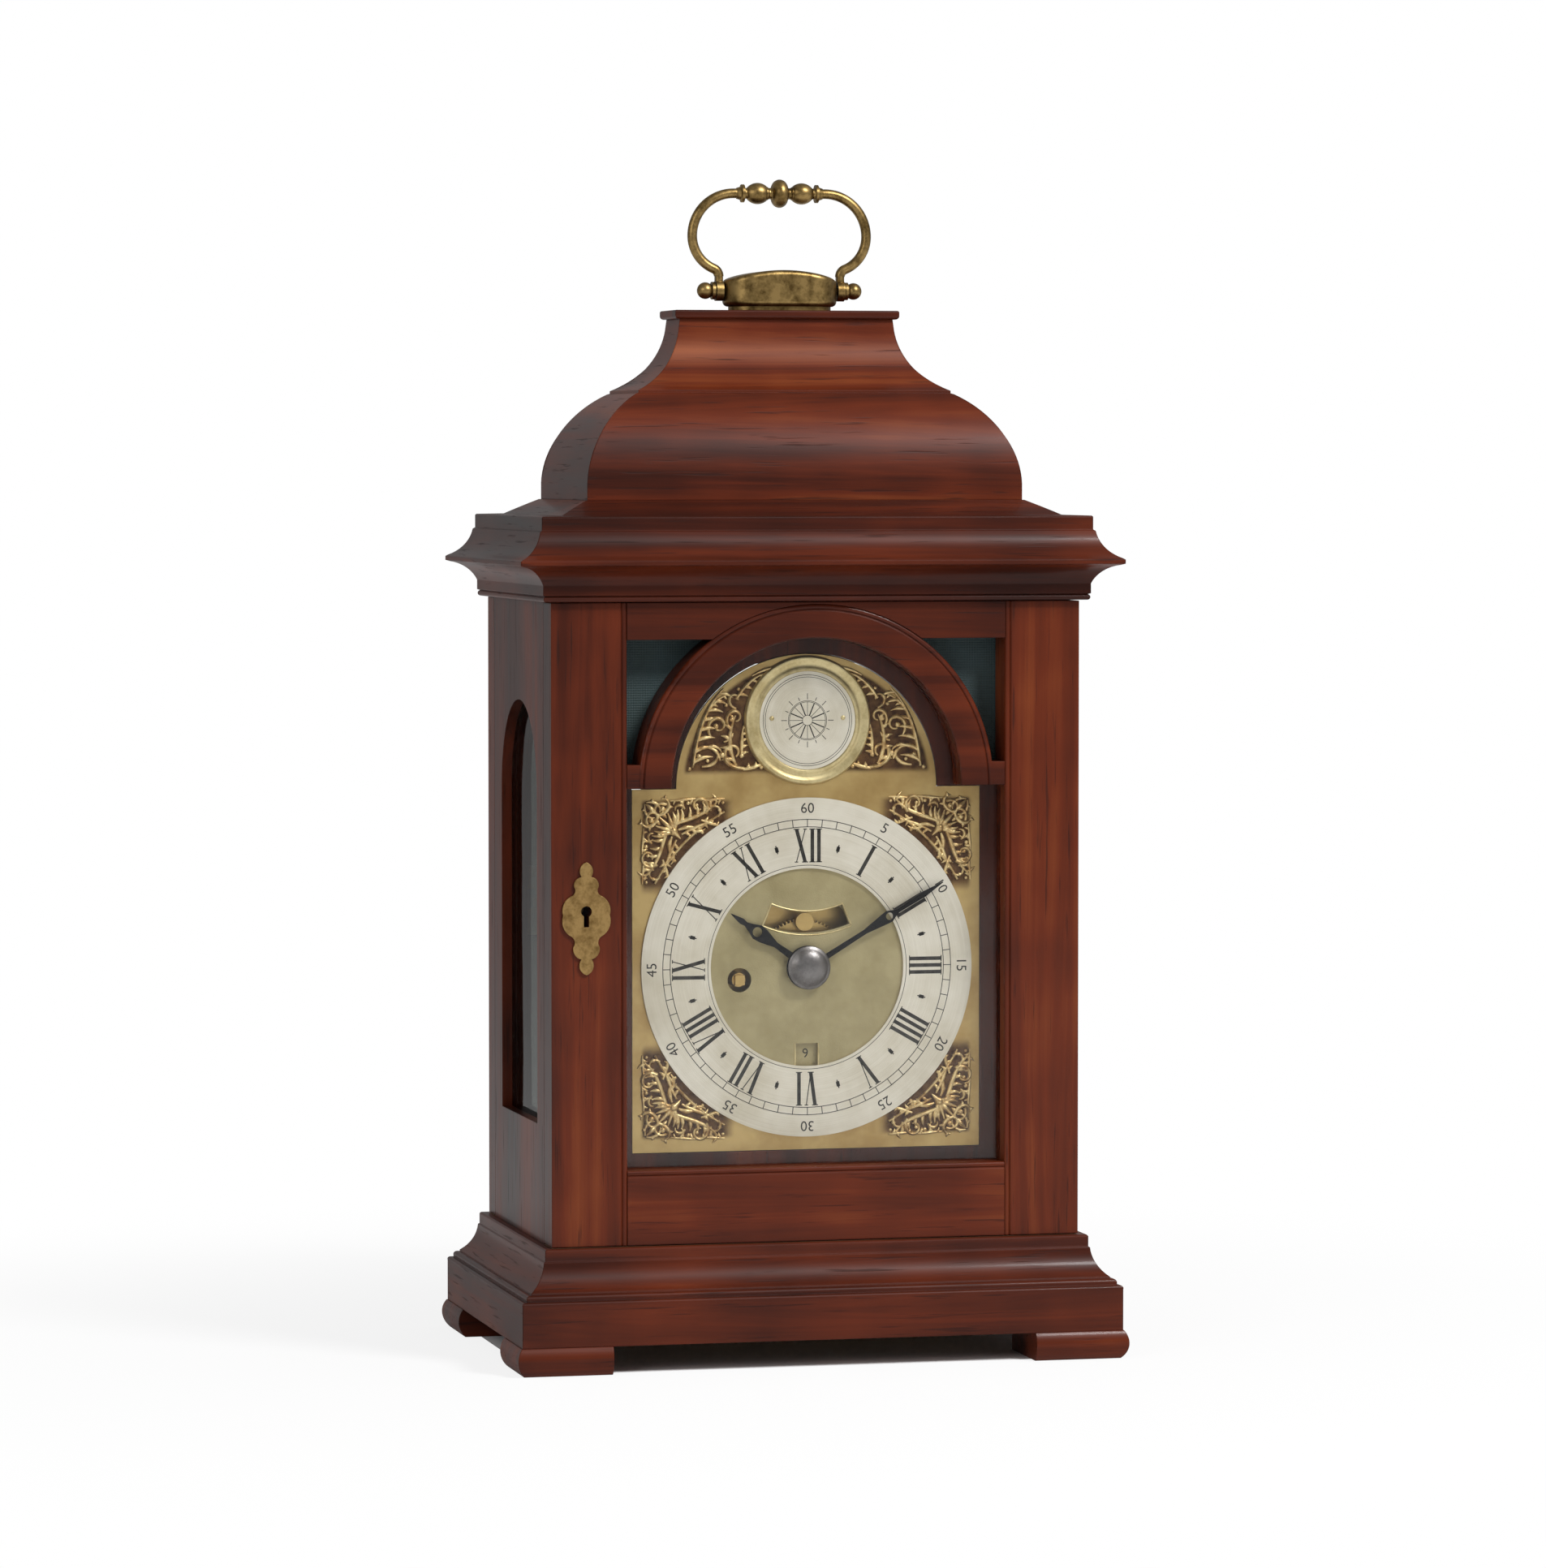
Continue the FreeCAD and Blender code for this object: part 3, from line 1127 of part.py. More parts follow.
RING_FRONT = DIAL_FRONT - RING_THICKNESS
HOUR_HAND_Y = RING_FRONT - 1.4
MINUTE_HAND_Y = HOUR_HAND_Y - 1.8
COLLET_Y = MINUTE_HAND_Y - 2.4


def cannon_wheel():
    """Wheel and pipe that carry the minute hand, free to turn on the centre arbor when the hands are set."""
    wheel_y1 = CANNON_Y + MOTION_WHEEL
    wheel = gear_y(wheel_steps(MINUTE_TEETH, TRAIN_MODULE), 0, DIAL_Z, CANNON_Y, wheel_y1, 0)
    pipe = rod_y(0, DIAL_Z, CANNON_RADIUS, MINUTE_HAND_Y, wheel_y1)
    bore = rod_y(0, DIAL_Z, ARBOR + RUNNING, MINUTE_HAND_Y - 1, wheel_y1 + 1)
    write("cannon_wheel", fused(pipe, wheel).cut(bore), hand_collet())


def hand_collet():
    bore = ARBOR + RUNNING
    profile = [(0, bore), (0, 6.0), (-0.6, 6.0), (-1.5, 4.6, -2.0, bore)]
    base = Vector(0, MINUTE_HAND_Y, DIAL_Z)
    collet = face_of(profile, lambda along, radius: base + Vector(radius, along, 0))
    return collet.revolve(base, Vector(0, 1, 0), 360)


def minute_wheel_place():
    return polar((0, DIAL_Z), MOTION_DISTANCE, MINUTE_WHEEL_ANGLE)


def minute_wheel():
    x, z = minute_wheel_place()
    wheel_turn = mesh_turns(0, DIAL_Z, x, z, MINUTE_TEETH, MINUTE_TEETH, 0)
    wheel_y1 = CANNON_Y + MOTION_WHEEL
    wheel = gear_y(wheel_steps(MINUTE_TEETH, TRAIN_MODULE), x, z, CANNON_Y, wheel_y1, wheel_turn)
    pinion = gear_y(pinion_steps(MINUTE_LEAVES, HOUR_MODULE), x, z, HOUR_Y - 0.8, CANNON_Y, 0)
    post_bore = rod_y(x, z, 0.75 + RUNNING, HOUR_Y - 2, wheel_y1 + 1)
    write("minute_wheel", fused(wheel, pinion).cut(post_bore))


def hour_wheel():
    x, z = minute_wheel_place()
    turn = mesh_turns(x, z, 0, DIAL_Z, MINUTE_LEAVES, HOUR_TEETH, 0)
    wheel_y1 = HOUR_Y + MOTION_WHEEL
    wheel = gear_y(wheel_steps(HOUR_TEETH, HOUR_MODULE), 0, DIAL_Z, HOUR_Y, wheel_y1, turn)
    date = gear_y(wheel_steps(DATE_PINION_TEETH, TRAIN_MODULE), 0, DIAL_Z, DATE_Y, DATE_Y + MOTION_WHEEL, 0)
    pipe = rod_y(0, DIAL_Z, HOUR_PIPE_RADIUS, HOUR_HAND_Y, wheel_y1)
    bore = rod_y(0, DIAL_Z, CANNON_RADIUS + RUNNING, HOUR_HAND_Y - 1, wheel_y1 + 1)
    write("hour_wheel", fused(pipe, wheel, date).cut(bore))


def hand_steps(boss, neck, belly, belly_at, length, tail):
    """Half outline of a hand as (across, along) to the right of its middle line."""
    return [
        (neck, boss * 0.93), (neck * 0.8, 0.42 * length), (belly * 0.9, belly_at * length - belly),
        (belly, belly_at * length), (belly * 0.55, belly_at * length + belly),
        (tail, belly_at * length + 1.8 * belly),
        (tail * 1.5, 0.86 * length), (0.15, length),
    ]


def hand(boss, neck, belly, belly_at, length, tail, y, clock_degrees):
    right = hand_steps(boss, neck, belly, belly_at, length, tail)
    left = [(-a, b) for a, b in reversed(right)]
    steps = right + left
    angle = math.radians(clock_degrees)
    c, s = math.cos(angle), math.sin(angle)
    place = lambda a, b: Vector(a * c + b * s, y, DIAL_Z - a * s + b * c)
    blade = face_of(steps, place).extrude(Vector(0, HAND, 0))
    eye = place(0, belly_at * length)
    blade = blade.cut(rod_y(eye.x, eye.z, 0.62 * belly, y - 1, y + HAND + 1))
    return fused(blade, rod_y(0, DIAL_Z, boss, y, y + HAND))


def hands():
    minute_angle = 6.0 * MINUTES_PAST_TEN
    hour_angle = 300.0 + 0.5 * MINUTES_PAST_TEN
    hour = hand(9.3, 1.5, 3.4, 0.66, HOUR_HAND_LENGTH, 0.9, HOUR_HAND_Y, hour_angle)
    hour = hour.cut(rod_y(0, DIAL_Z, HOUR_PIPE_RADIUS, HOUR_HAND_Y - 1, HOUR_HAND_Y + 2))
    write("hour_hand", hour)
    minute = hand(6.6, 1.2, 2.6, 0.60, MINUTE_HAND_LENGTH, 0.8, MINUTE_HAND_Y, minute_angle)
    minute = minute.cut(rod_y(0, DIAL_Z, CANNON_RADIUS, MINUTE_HAND_Y - 1, MINUTE_HAND_Y + 2))
    write("minute_hand", minute)


def date_work():
    x, z = date_wheel_place()
    turn = mesh_turns(0, DIAL_Z, x, z, DATE_PINION_TEETH, DATE_WHEEL_TEETH, 0)
    y1 = DATE_Y + MOTION_WHEEL
    wheel = gear_y(wheel_steps(DATE_WHEEL_TEETH, TRAIN_MODULE), x, z, DATE_Y, y1, turn)
    finger = rod_y(x + DATE_FINGER, z, 0.6, DATE_Y - 1.0, DATE_Y + 0.5)
    wheel = fused(wheel, finger).cut(rod_y(x, z, 1.0 + RUNNING, DATE_Y - 1, y1 + 1))
    write("date_driving_wheel", wheel)
    ring_front = DIAL_BACK + PART_GAP
    ring_back = ring_front + DATE_RING
    ring = ring_y(DATE_RING_OFFSET, DIAL_Z, DATE_RING_OUTER, DATE_RING_INNER, ring_front, ring_back)
    for n in range(DATE_TEETH):
        spot = polar((DATE_RING_OFFSET, DIAL_Z), DATE_RING_INNER, 360.0 * n / DATE_TEETH)
        ring = ring.cut(rod_y(spot[0], spot[1], 1.3, ring_front - 1, ring_front + DATE_RING + 1))
    write("date_ring", ring)


# ---------------------------------------------------------------- movement frame
def arbor_holes(y0, y1, back):
    """Pivot holes through a plate; the winding arbors are thicker at the front."""
    holes = []
    spots = [(FUSEE_X, FUSEE_Z, WINDING_ARBOR), (0, CONTRATE_RISE, PIVOT)]
    spots.append((0, 0, PIVOT if back else ARBOR))
    for x, rise, radius in spots:
        holes.append(rod_y(x, DIAL_Z + rise, radius + RUNNING, y0 - 1, y1 + 1))
    holes.append(rod_y(BARREL_X, DIAL_Z + BARREL_Z, WINDING_ARBOR, y0 - 1, y1 + 1))
    verge = VERGE_ARBOR + (1.2 if back else RUNNING)
    holes.append(rod_y(0, VERGE_Z, verge, y0 - 1, y1 + 1))
    return Part.Compound(holes)


def plates():
    low = DIAL_Z + PLATE_BOTTOM
    high = DIAL_Z + PLATE_TOP
    front = box(-PLATE_HALF_WIDTH, PLATE_HALF_WIDTH, PLATE_FRONT, INSIDE_FRONT, low, high)
    back = box(-PLATE_HALF_WIDTH, PLATE_HALF_WIDTH, INSIDE_BACK, PLATE_BACK, low, high)
    front = front.cut(arbor_holes(PLATE_FRONT, INSIDE_FRONT, False))
    back = back.cut(arbor_holes(INSIDE_BACK, PLATE_BACK, True))
    write("movement_plates", front, back)
    pillars = []
    bolt_y = (INSIDE_FRONT + INSIDE_BACK) / 2
    for rise in (PILLAR_LOW, PILLAR_HIGH):
        z = DIAL_Z + rise
        length = PLATE_SPACING
        profile = [
            (0, 0), (0, PILLAR_RADIUS + 1.2), (1.6, PILLAR_RADIUS + 1.2), (2.6, PILLAR_RADIUS - 0.6),
            (length / 2 - 3, PILLAR_RADIUS - 0.9),
            (length / 2, PILLAR_RADIUS, length / 2 + 3, PILLAR_RADIUS - 0.9),
            (length - 2.6, PILLAR_RADIUS - 0.6), (length - 1.6, PILLAR_RADIUS + 1.2),
            (length, PILLAR_RADIUS + 1.2), (length, 0),
        ]
        pillar = turned(profile, Vector(PILLAR_X, INSIDE_FRONT, z), Vector(0, 1, 0), Vector(0, 0, 1))
        if rise == PILLAR_LOW:
            pillar = pillar.cut(rod_z(PILLAR_X, bolt_y, SEAT_BOLT, z - 10, z))
        pillars += mirrored_pair(pillar)
    bolt_bottom = low - SEAT_BOARD
    bolt = rod_z(PILLAR_X, bolt_y, SEAT_BOLT, bolt_bottom, DIAL_Z + PILLAR_LOW)
    head = rod_z(PILLAR_X, bolt_y, 5.0, bolt_bottom - 3.5, bolt_bottom)
    write("pillars_and_bolts", *pillars, *mirrored_pair(fused(bolt, head)))
    seat = box(-SIDE_INNER, SIDE_INNER, PLATE_FRONT - 2, PLATE_BACK + 3, bolt_bottom, low)
    for sign in (-1, 1):
        seat = seat.cut(rod_z(sign * PILLAR_X, bolt_y, SEAT_BOLT, bolt_bottom - 1, low + 1))
    rail_back = BACK_DOOR_FRONT - 12
    rail_bottom = bolt_bottom - SEAT_RAIL
    rail = box(SIDE_INNER - SEAT_RAIL, SIDE_INNER, PLATE_FRONT - 2, rail_back, rail_bottom, bolt_bottom)
    write("seat_board", seat, *mirrored_pair(rail))


# ---------------------------------------------------------------- train
def great_wheel():
    x = FUSEE_X
    z = DIAL_Z + FUSEE_Z
    y1 = GREAT_Y + GREAT_WHEEL
    wheel = gear_y(wheel_steps(GREAT_TEETH, GREAT_MODULE), x, z, GREAT_Y, y1, GREAT_TURN)
    wheel = wheel.cut(rod_y(x, z, WINDING_ARBOR + RUNNING, GREAT_Y - 1, y1 + 1))
    write("great_wheel", wheel)


def fusee_radius(share):
    """Radius of the fusee along its length, from 0 at the great wheel to 1 at the small end."""
    return FUSEE_SMALL + (FUSEE_LARGE - FUSEE_SMALL) * (1 - share) ** 1.4


def fusee():
    x = FUSEE_X
    z = DIAL_Z + FUSEE_Z
    start = GREAT_Y + GREAT_WHEEL + PART_GAP
    middle = start + FUSEE_LENGTH / 2
    end = start + FUSEE_LENGTH
    profile = [
        (start, WINDING_ARBOR), (start, FUSEE_LARGE + 1.4), (start + 0.8, FUSEE_LARGE + 1.4),
        (start + 1.2, fusee_radius(0)), (middle, fusee_radius(0.5), end, fusee_radius(1)),
        (end, FUSEE_SMALL + 1.4), (end + 1.2, FUSEE_SMALL + 1.4), (end + 1.2, WINDING_ARBOR),
    ]
    centre = Vector(x, 0, z)
    cone = face_of(profile, lambda along, radius: centre + Vector(radius, along, 0))
    cone = cone.revolve(centre, Vector(0, 1, 0), 360)
    arbor = rod_y(x, z, WINDING_ARBOR, DIAL_BACK - 0.5, PLATE_BACK)
    square = 0.7 * WINDING_ARBOR
    key_square = box(x - square, x + square, DIAL_FRONT - 1.2, DIAL_BACK, z - square, z + square)
    write("fusee", fused(arbor, cone, key_square))


def barrel():
    x = BARREL_X
    z = DIAL_Z + BARREL_Z
    y0 = GREAT_Y
    y1 = y0 + BARREL_LENGTH
    bore = rod_y(x, z, WINDING_ARBOR + RUNNING, y0 - 1, y1 + 1)
    drum = rod_y(x, z, BARREL_RADIUS, y0, y1 - BARREL_WALL)
    drum = drum.cut(rod_y(x, z, BARREL_RADIUS - BARREL_WALL, y0 + BARREL_WALL, y1 + 1)).cut(bore)
    write("spring_barrel", drum, rod_y(x, z, BARREL_RADIUS, y1 - BARREL_WALL, y1).cut(bore))
    arbor = rod_y(x, z, WINDING_ARBOR, PLATE_FRONT - 4.0, PLATE_BACK)
    ratchet_y0 = PLATE_FRONT - 2.4
    ratchet = gear_y(ratchet_steps(24, 9.0, 7.6), x, z, ratchet_y0, PLATE_FRONT - 0.3, 0)
    ratchet = ratchet.cut(rod_y(x, z, WINDING_ARBOR, ratchet_y0 - 1, PLATE_FRONT))
    click_x = x + 14.0
    click = box(click_x - 5.2, click_x + 1, ratchet_y0, PLATE_FRONT, z + 2.0, z + 5.2)
    click = click.fuse(rod_y(click_x, z + 3.6, 2.6, ratchet_y0, PLATE_FRONT))
    click = click.cut(rod_y(x, z, 9.3, ratchet_y0 - 1, PLATE_FRONT + 1))
    write("barrel_arbor_and_click", arbor, ratchet, click)


def ratchet_steps(teeth, tip, root):
    points = []
    for n in range(teeth):
        start = 2 * math.pi * n / teeth
        points.append((root * math.cos(start), root * math.sin(start)))
        points.append((tip * math.cos(start), tip * math.sin(start)))
    return points


def mainspring():
    """Spiral strip between the barrel arbor and the barrel's wall, as half rounds."""
    x = BARREL_X
    z = DIAL_Z + BARREL_Z
    y0 = GREAT_Y + BARREL_WALL + PART_GAP
    y1 = GREAT_Y + BARREL_LENGTH - BARREL_WALL - PART_GAP
    first = WINDING_ARBOR + 1.0
    last = BARREL_RADIUS - BARREL_WALL - PART_GAP - SPRING_STRIP
    pitch = (last - first) / SPRING_TURNS
    inner = spiral_edges(x, y0, z, first, pitch)
    outer = spiral_edges(x, y0, z, first + SPRING_STRIP, pitch)
    ends = [
        Part.makeLine(inner[0].Vertexes[0].Point, outer[0].Vertexes[0].Point),
        Part.makeLine(inner[-1].Vertexes[-1].Point, outer[-1].Vertexes[-1].Point),
    ]
    wire = Part.Wire(Part.__sortEdges__(inner + outer + ends))
    write("mainspring", Part.Face(wire).extrude(Vector(0, y1 - y0, 0)))


def spiral_edges(x, y, z, start, pitch):
    edges = []
    side = 1
    reach = start
    for n in range(2 * SPRING_TURNS):
        following = reach + pitch / 2
        a = Vector(x + side * reach, y, z)
        b = Vector(x - side * following, y, z)
        middle = Vector((a.x + b.x) / 2, y, z + side * (reach + following) / 2)
        edges.append(Part.Arc(a, middle, b).toShape())
        reach = following
        side = -side
    return edges


def contrate_arbor():
    """Contrate wheel, whose teeth face forwards, and its pinion."""
    y_tips = CROWN_AXIS_Y + CROWN_LEAVES * TRAIN_MODULE / 2 - 0.9 * TRAIN_MODULE
    rim_front = y_tips + 2.1 * TRAIN_MODULE
    web_y0 = rim_front + 3.0
    rim_out = CONTRATE_RADIUS + 0.75
    rim_in = CONTRATE_RADIUS - 0.75
    rim = ring_y(0, CONTRATE_Z, rim_out, rim_in, rim_front, web_y0)
    web = ring_y(0, CONTRATE_Z, rim_out, ARBOR - 0.2, web_y0, web_y0 + 1.4)
    web = web.cut(crossings(0, CONTRATE_Z, web_y0, web_y0 + 1.4, 4.0, rim_in - 1.0, 4, 2.2))
    teeth = []
    half_root = 0.40 * math.pi * TRAIN_MODULE / 2
    half_tip = 0.10 * math.pi * TRAIN_MODULE / 2
    root = rim_front + 0.1
    section = [(-half_root, root), (-half_tip, y_tips), (half_tip, y_tips), (half_root, root)]
    tooth = face_of(section, lambda a, y: Vector(a, y, CONTRATE_Z + rim_in))
    tooth = tooth.extrude(Vector(0, 0, rim_out - rim_in))
    for n in range(CONTRATE_TEETH):
        one = tooth.copy()
        one.rotate(Vector(0, 0, CONTRATE_Z), Vector(0, 1, 0), 360.0 * n / CONTRATE_TEETH)
        teeth.append(one)
    pinion_y0 = CENTRE_WHEEL_Y - 2.0
    pinion_y1 = CENTRE_WHEEL_Y + WHEEL + 2.0
    pinion = gear_y(
        pinion_steps(CONTRATE_LEAVES, TRAIN_MODULE), 0, CONTRATE_Z, pinion_y0, pinion_y1, CONTRATE_PINION_TURN
    )
    arbor = rod_y(0, CONTRATE_Z, ARBOR, INSIDE_FRONT + 1.5, pinion_y0 + 0.2)
    pivots = rod_y(0, CONTRATE_Z, PIVOT, PLATE_FRONT, PLATE_BACK)
    write("contrate_wheel_and_arbor", fused(rim, web, pinion, arbor, pivots, *teeth))


CROWN_WHEEL_Z = CROWN_PINION_Z + 6.0
CROWN_TIP_Z = VERGE_Z - 4.8


def crown_arbor():
    """Crown wheel on its upright arbor, with its pinion at the contrate teeth."""
    angle = 180.0 / CROWN_LEAVES + 90.0
    c, s = math.cos(math.radians(angle)), math.sin(math.radians(angle))
    z0 = CROWN_PINION_Z - 3.0
    z1 = CROWN_PINION_Z + 3.0
    place = lambda a, b: Vector(a * c - b * s, CROWN_AXIS_Y + a * s + b * c, z0)
    pinion = face_of(pinion_steps(CROWN_LEAVES, TRAIN_MODULE), place).extrude(Vector(0, 0, z1 - z0))
    arbor = rod_z(0, CROWN_AXIS_Y, PIVOT, z0 - 3.0, CROWN_WHEEL_Z + 0.5)
    web = rod_z(0, CROWN_AXIS_Y, CROWN_RADIUS, CROWN_WHEEL_Z, CROWN_WHEEL_Z + 1.5)
    wall = rod_z(0, CROWN_AXIS_Y, CROWN_RADIUS, CROWN_WHEEL_Z, CROWN_TIP_Z)
    wall = wall.cut(rod_z(0, CROWN_AXIS_Y, CROWN_RADIUS - 1.2, CROWN_WHEEL_Z - 1, CROWN_TIP_Z + 1))
    wheel = web.fuse(wall)
    depth = 3.4
    pitch = 2 * math.pi * CROWN_RADIUS / CROWN_TEETH
    notch_steps = [(0.25, CROWN_TIP_Z + 1), (0.0, CROWN_TIP_Z - depth), (pitch - 0.5, CROWN_TIP_Z + 1)]
    notch = face_of(notch_steps, lambda a, z: Vector(a, CROWN_AXIS_Y - CROWN_RADIUS - 1, z))
    notch = notch.extrude(Vector(0, 3, 0))
    notches = []
    for n in range(CROWN_TEETH):
        one = notch.copy()
        one.rotate(Vector(0, CROWN_AXIS_Y, 0), Vector(0, 0, 1), 360.0 * n / CROWN_TEETH)
        notches.append(one)
    wheel = wheel.cut(notches)
    hub = rod_z(0, CROWN_AXIS_Y, 2.4, CROWN_WHEEL_Z - 0.6, CROWN_WHEEL_Z + 0.2)
    write("crown_wheel_and_arbor", fused(arbor, pinion, wheel, hub))


def cocks_and_post():
    """Potence with the upright arbor's bearings, back cock of the verge, and post of the minute wheel."""
    y0 = INSIDE_FRONT
    y1 = CROWN_AXIS_Y + 2.6
    lower_z1 = CROWN_PINION_Z - 3.0 - PART_GAP
    upper_z0 = CROWN_PINION_Z + 3.0 + PART_GAP
    lower = box(-3.2, 3.2, y0, y1, lower_z1 - 2.6, lower_z1)
    upper = box(-3.2, 3.2, y0, y1, upper_z0, CROWN_WHEEL_Z - 0.6 - PART_GAP)
    foot_block = box(-5.5, 5.5, y0, y0 + 3.0, lower_z1 - 4.0, CROWN_WHEEL_Z + 1.0)
    bearing = rod_z(0, CROWN_AXIS_Y, PIVOT + RUNNING, lower_z1 - 10, CROWN_WHEEL_Z + 5)
    potence = fused(lower, upper, foot_block).cut(bearing)
    y0 = PLATE_BACK
    y1 = y0 + 5.0
    apron = box(-16.0, 16.0, y0, y0 + 1.6, VERGE_Z - 9.0, VERGE_Z + 8.0)
    bridge = box(-5.0, 5.0, y0, y1, VERGE_Z - 5.0, VERGE_Z + 6.0)
    cock = fused(apron, bridge).cut(rod_y(0, VERGE_Z, VERGE_ARBOR + RUNNING, y0 - 1, y1 + 1))
    x, z = minute_wheel_place()
    post = rod_y(x, z, 0.75, HOUR_Y - 0.8, PLATE_FRONT)
    shoulder = rod_y(x, z, 2.0, CANNON_Y + MOTION_WHEEL + PART_GAP, PLATE_FRONT)
    write("cocks_and_post", potence, cock, fused(post, shoulder))


def verge_and_pendulum():
    """Verge arbor and pallets, with the pendulum behind and the mock bob in front."""
    z = VERGE_Z
    back_end = PLATE_BACK + 11.0
    mock_y = DIAL_BACK + 1.9
    arbor = rod_y(0, z, VERGE_ARBOR, mock_y - 0.6, back_end)
    pallets = []
    for sign in (-1, 1):
        y = CROWN_AXIS_Y + sign * (CROWN_RADIUS - 0.6)
        flag = box(-0.5, 0.5, y - 1.5, y + 1.5, -PALLET_LENGTH, 0)
        flag.rotate(Vector(0, 0, 0), Vector(0, 1, 0), sign * PALLET_ANGLE)
        flag.translate(Vector(0, 0, z))
        pallets.append(flag)
    verge = fused(arbor, *pallets)
    arm = box(-0.9, 0.9, mock_y, mock_y + 0.8, z - MOCK_BOB_DROP, z)
    eye = rod_y(0, z, 2.6, mock_y, mock_y + 0.8)
    bob = rod_y(0, z - MOCK_BOB_DROP, MOCK_BOB_RADIUS, mock_y - 0.5, mock_y + 0.8)
    mock = fused(arm, eye, bob).cut(rod_y(0, z, VERGE_ARBOR, mock_y - 2, mock_y + 2))
    rod_y0 = back_end - 3.0
    y_mid = rod_y0 + 1.5
    rod = rod_z(0, y_mid, PENDULUM_ROD, z - PENDULUM_LENGTH - PENDULUM_BOB - 3.0, z)
    boss = rod_y(0, z, 3.2, rod_y0, back_end)
    rod = fused(rod, boss).cut(rod_y(0, z, VERGE_ARBOR, rod_y0 - 1, back_end + 1))
    write("verge_and_pendulum_rod", verge, rod)
    half = PENDULUM_BOB_THICKNESS / 2
    bulge = (PENDULUM_BOB * PENDULUM_BOB + half * half) / (2 * half)
    centre = Vector(0, y_mid, z - PENDULUM_LENGTH)
    lens = Part.makeSphere(bulge, centre + Vector(0, bulge - half, 0))
    lens = lens.common(Part.makeSphere(bulge, centre - Vector(0, bulge - half, 0)))
    lens = lens.cut(rod_z(0, y_mid, PENDULUM_ROD, centre.z - 2 * PENDULUM_BOB, centre.z + 2 * PENDULUM_BOB))
    nut_z = z - PENDULUM_LENGTH - PENDULUM_BOB - 2.4
    nut = rod_z(0, y_mid, 3.0, nut_z, nut_z + 1.8).cut(rod_z(0, y_mid, PENDULUM_ROD, nut_z - 1, nut_z + 3))
    write("pendulum_bobs", lens, nut, mock)


# ---------------------------------------------------------------- gut line
def biarc_edges(p0, t0, p1, t1):
    """Two arcs from p0 to p1 that leave along t0 and arrive along t1."""
    v = p1 - p0
    t = t0 + t1
    bend = 2 * (1 - t0.dot(t1))
    if bend < 1e-9:
        d = v.dot(v) / (4 * v.dot(t1))
    else:
        d = (-v.dot(t) + math.sqrt(v.dot(t) ** 2 + bend * v.dot(v))) / bend
    joint = (p0 + p1 + (t0 - t1) * d) * 0.5
    return [tangent_arc(p0, t0, joint), tangent_arc(p1, t1 * -1.0, joint, True)]


def tangent_arc(start, tangent, end, backwards=False):
    chord = end - start
    along = Vector(chord).normalize()
    side = tangent - along * tangent.dot(along)
    if side.Length < 1e-7:
        return Part.makeLine(end, start) if backwards else Part.makeLine(start, end)
    turn = math.atan2(side.Length, tangent.dot(along))
    middle = (start + end) * 0.5 + side.normalize() * (chord.Length / 2 * math.tan(turn / 2))
    if backwards:
        return Part.Arc(end, middle, start).toShape()
    return Part.Arc(start, middle, end).toShape()


def winding_points(centre, radius_at, y_start, y_step, turns, start_degrees, way):
    """Points and directions each quarter turn of a winding round an arbor along Y."""
    points = []
    for n in range(4 * turns + 1):
        degrees = start_degrees + way * 90.0 * n
        y = y_start + y_step * n / 4
        angle = math.radians(degrees)
        radius = radius_at(y)
        slope = (radius_at(y + 0.05) - radius_at(y - 0.05)) / 0.1
        rate = y_step / (2 * math.pi)
        point = Vector(centre.x + radius * math.cos(angle), y, centre.z + radius * math.sin(angle))
        direction = Vector(-way * radius * math.sin(angle), rate, way * radius * math.cos(angle))
        direction += Vector(math.cos(angle), 0, math.sin(angle)) * (slope * rate)
        points.append((point, direction.normalize()))
    return points


def gut_line():
    """One line: wound on the barrel, across below the centre arbor, and wound on the fusee."""
    fusee_centre = Vector(FUSEE_X, 0, DIAL_Z + FUSEE_Z)
    barrel_centre = Vector(BARREL_X, 0, DIAL_Z + BARREL_Z)
    cone_start = GREAT_Y + GREAT_WHEEL + PART_GAP + 1.2
    lift = GUT_RADIUS + GUT_LIFT
    cone_radius = lambda y: fusee_radius(min(1.0, max(0.0, (y - cone_start) / FUSEE_LENGTH))) + lift
    drum_radius = lambda y: BARREL_RADIUS + lift
    last_y = cone_start + 1.6 + GUT_PITCH * FUSEE_TURNS
    r0 = drum_radius(last_y)
    r1 = cone_radius(last_y)
    dx = fusee_centre.x - barrel_centre.x
    dz = fusee_centre.z - barrel_centre.z
    line = math.degrees(math.atan2(dz, dx))
    lean = math.degrees(math.acos((r0 - r1) / math.hypot(dx, dz)))
    touch = line + lean
    drum_y = last_y + GUT_PITCH * BARREL_TURNS
    drum = winding_points(barrel_centre, drum_radius, drum_y, -GUT_PITCH, BARREL_TURNS, touch, -1)
    cone = winding_points(fusee_centre, cone_radius, last_y, -GUT_PITCH, FUSEE_TURNS, touch, -1)
    run = (cone[0][0] - drum[-1][0]).normalize()
    drum[-1] = (drum[-1][0], run)
    cone[0] = (cone[0][0], run)
    stations = drum + cone
    edges = []
    for (p0, t0), (p1, t1) in zip(stations, stations[1:]):
        edges += biarc_edges(p0, t0, p1, t1)
    start, direction = stations[0]
    wire = Part.Wire(edges)
    circle = Part.Wire([Part.makeCircle(GUT_RADIUS, start, direction)])
    tube = wire.makePipeShell([circle], True, False)
    expected = math.pi * GUT_RADIUS ** 2 * wire.Length
    print("gut line: length", round(wire.Length, 1), "volume", round(tube.Volume, 1), "of", round(expected, 1))
    print("gut line: least gap to itself", round(least_gap(stations), 2))
    write("gut_line", tube)


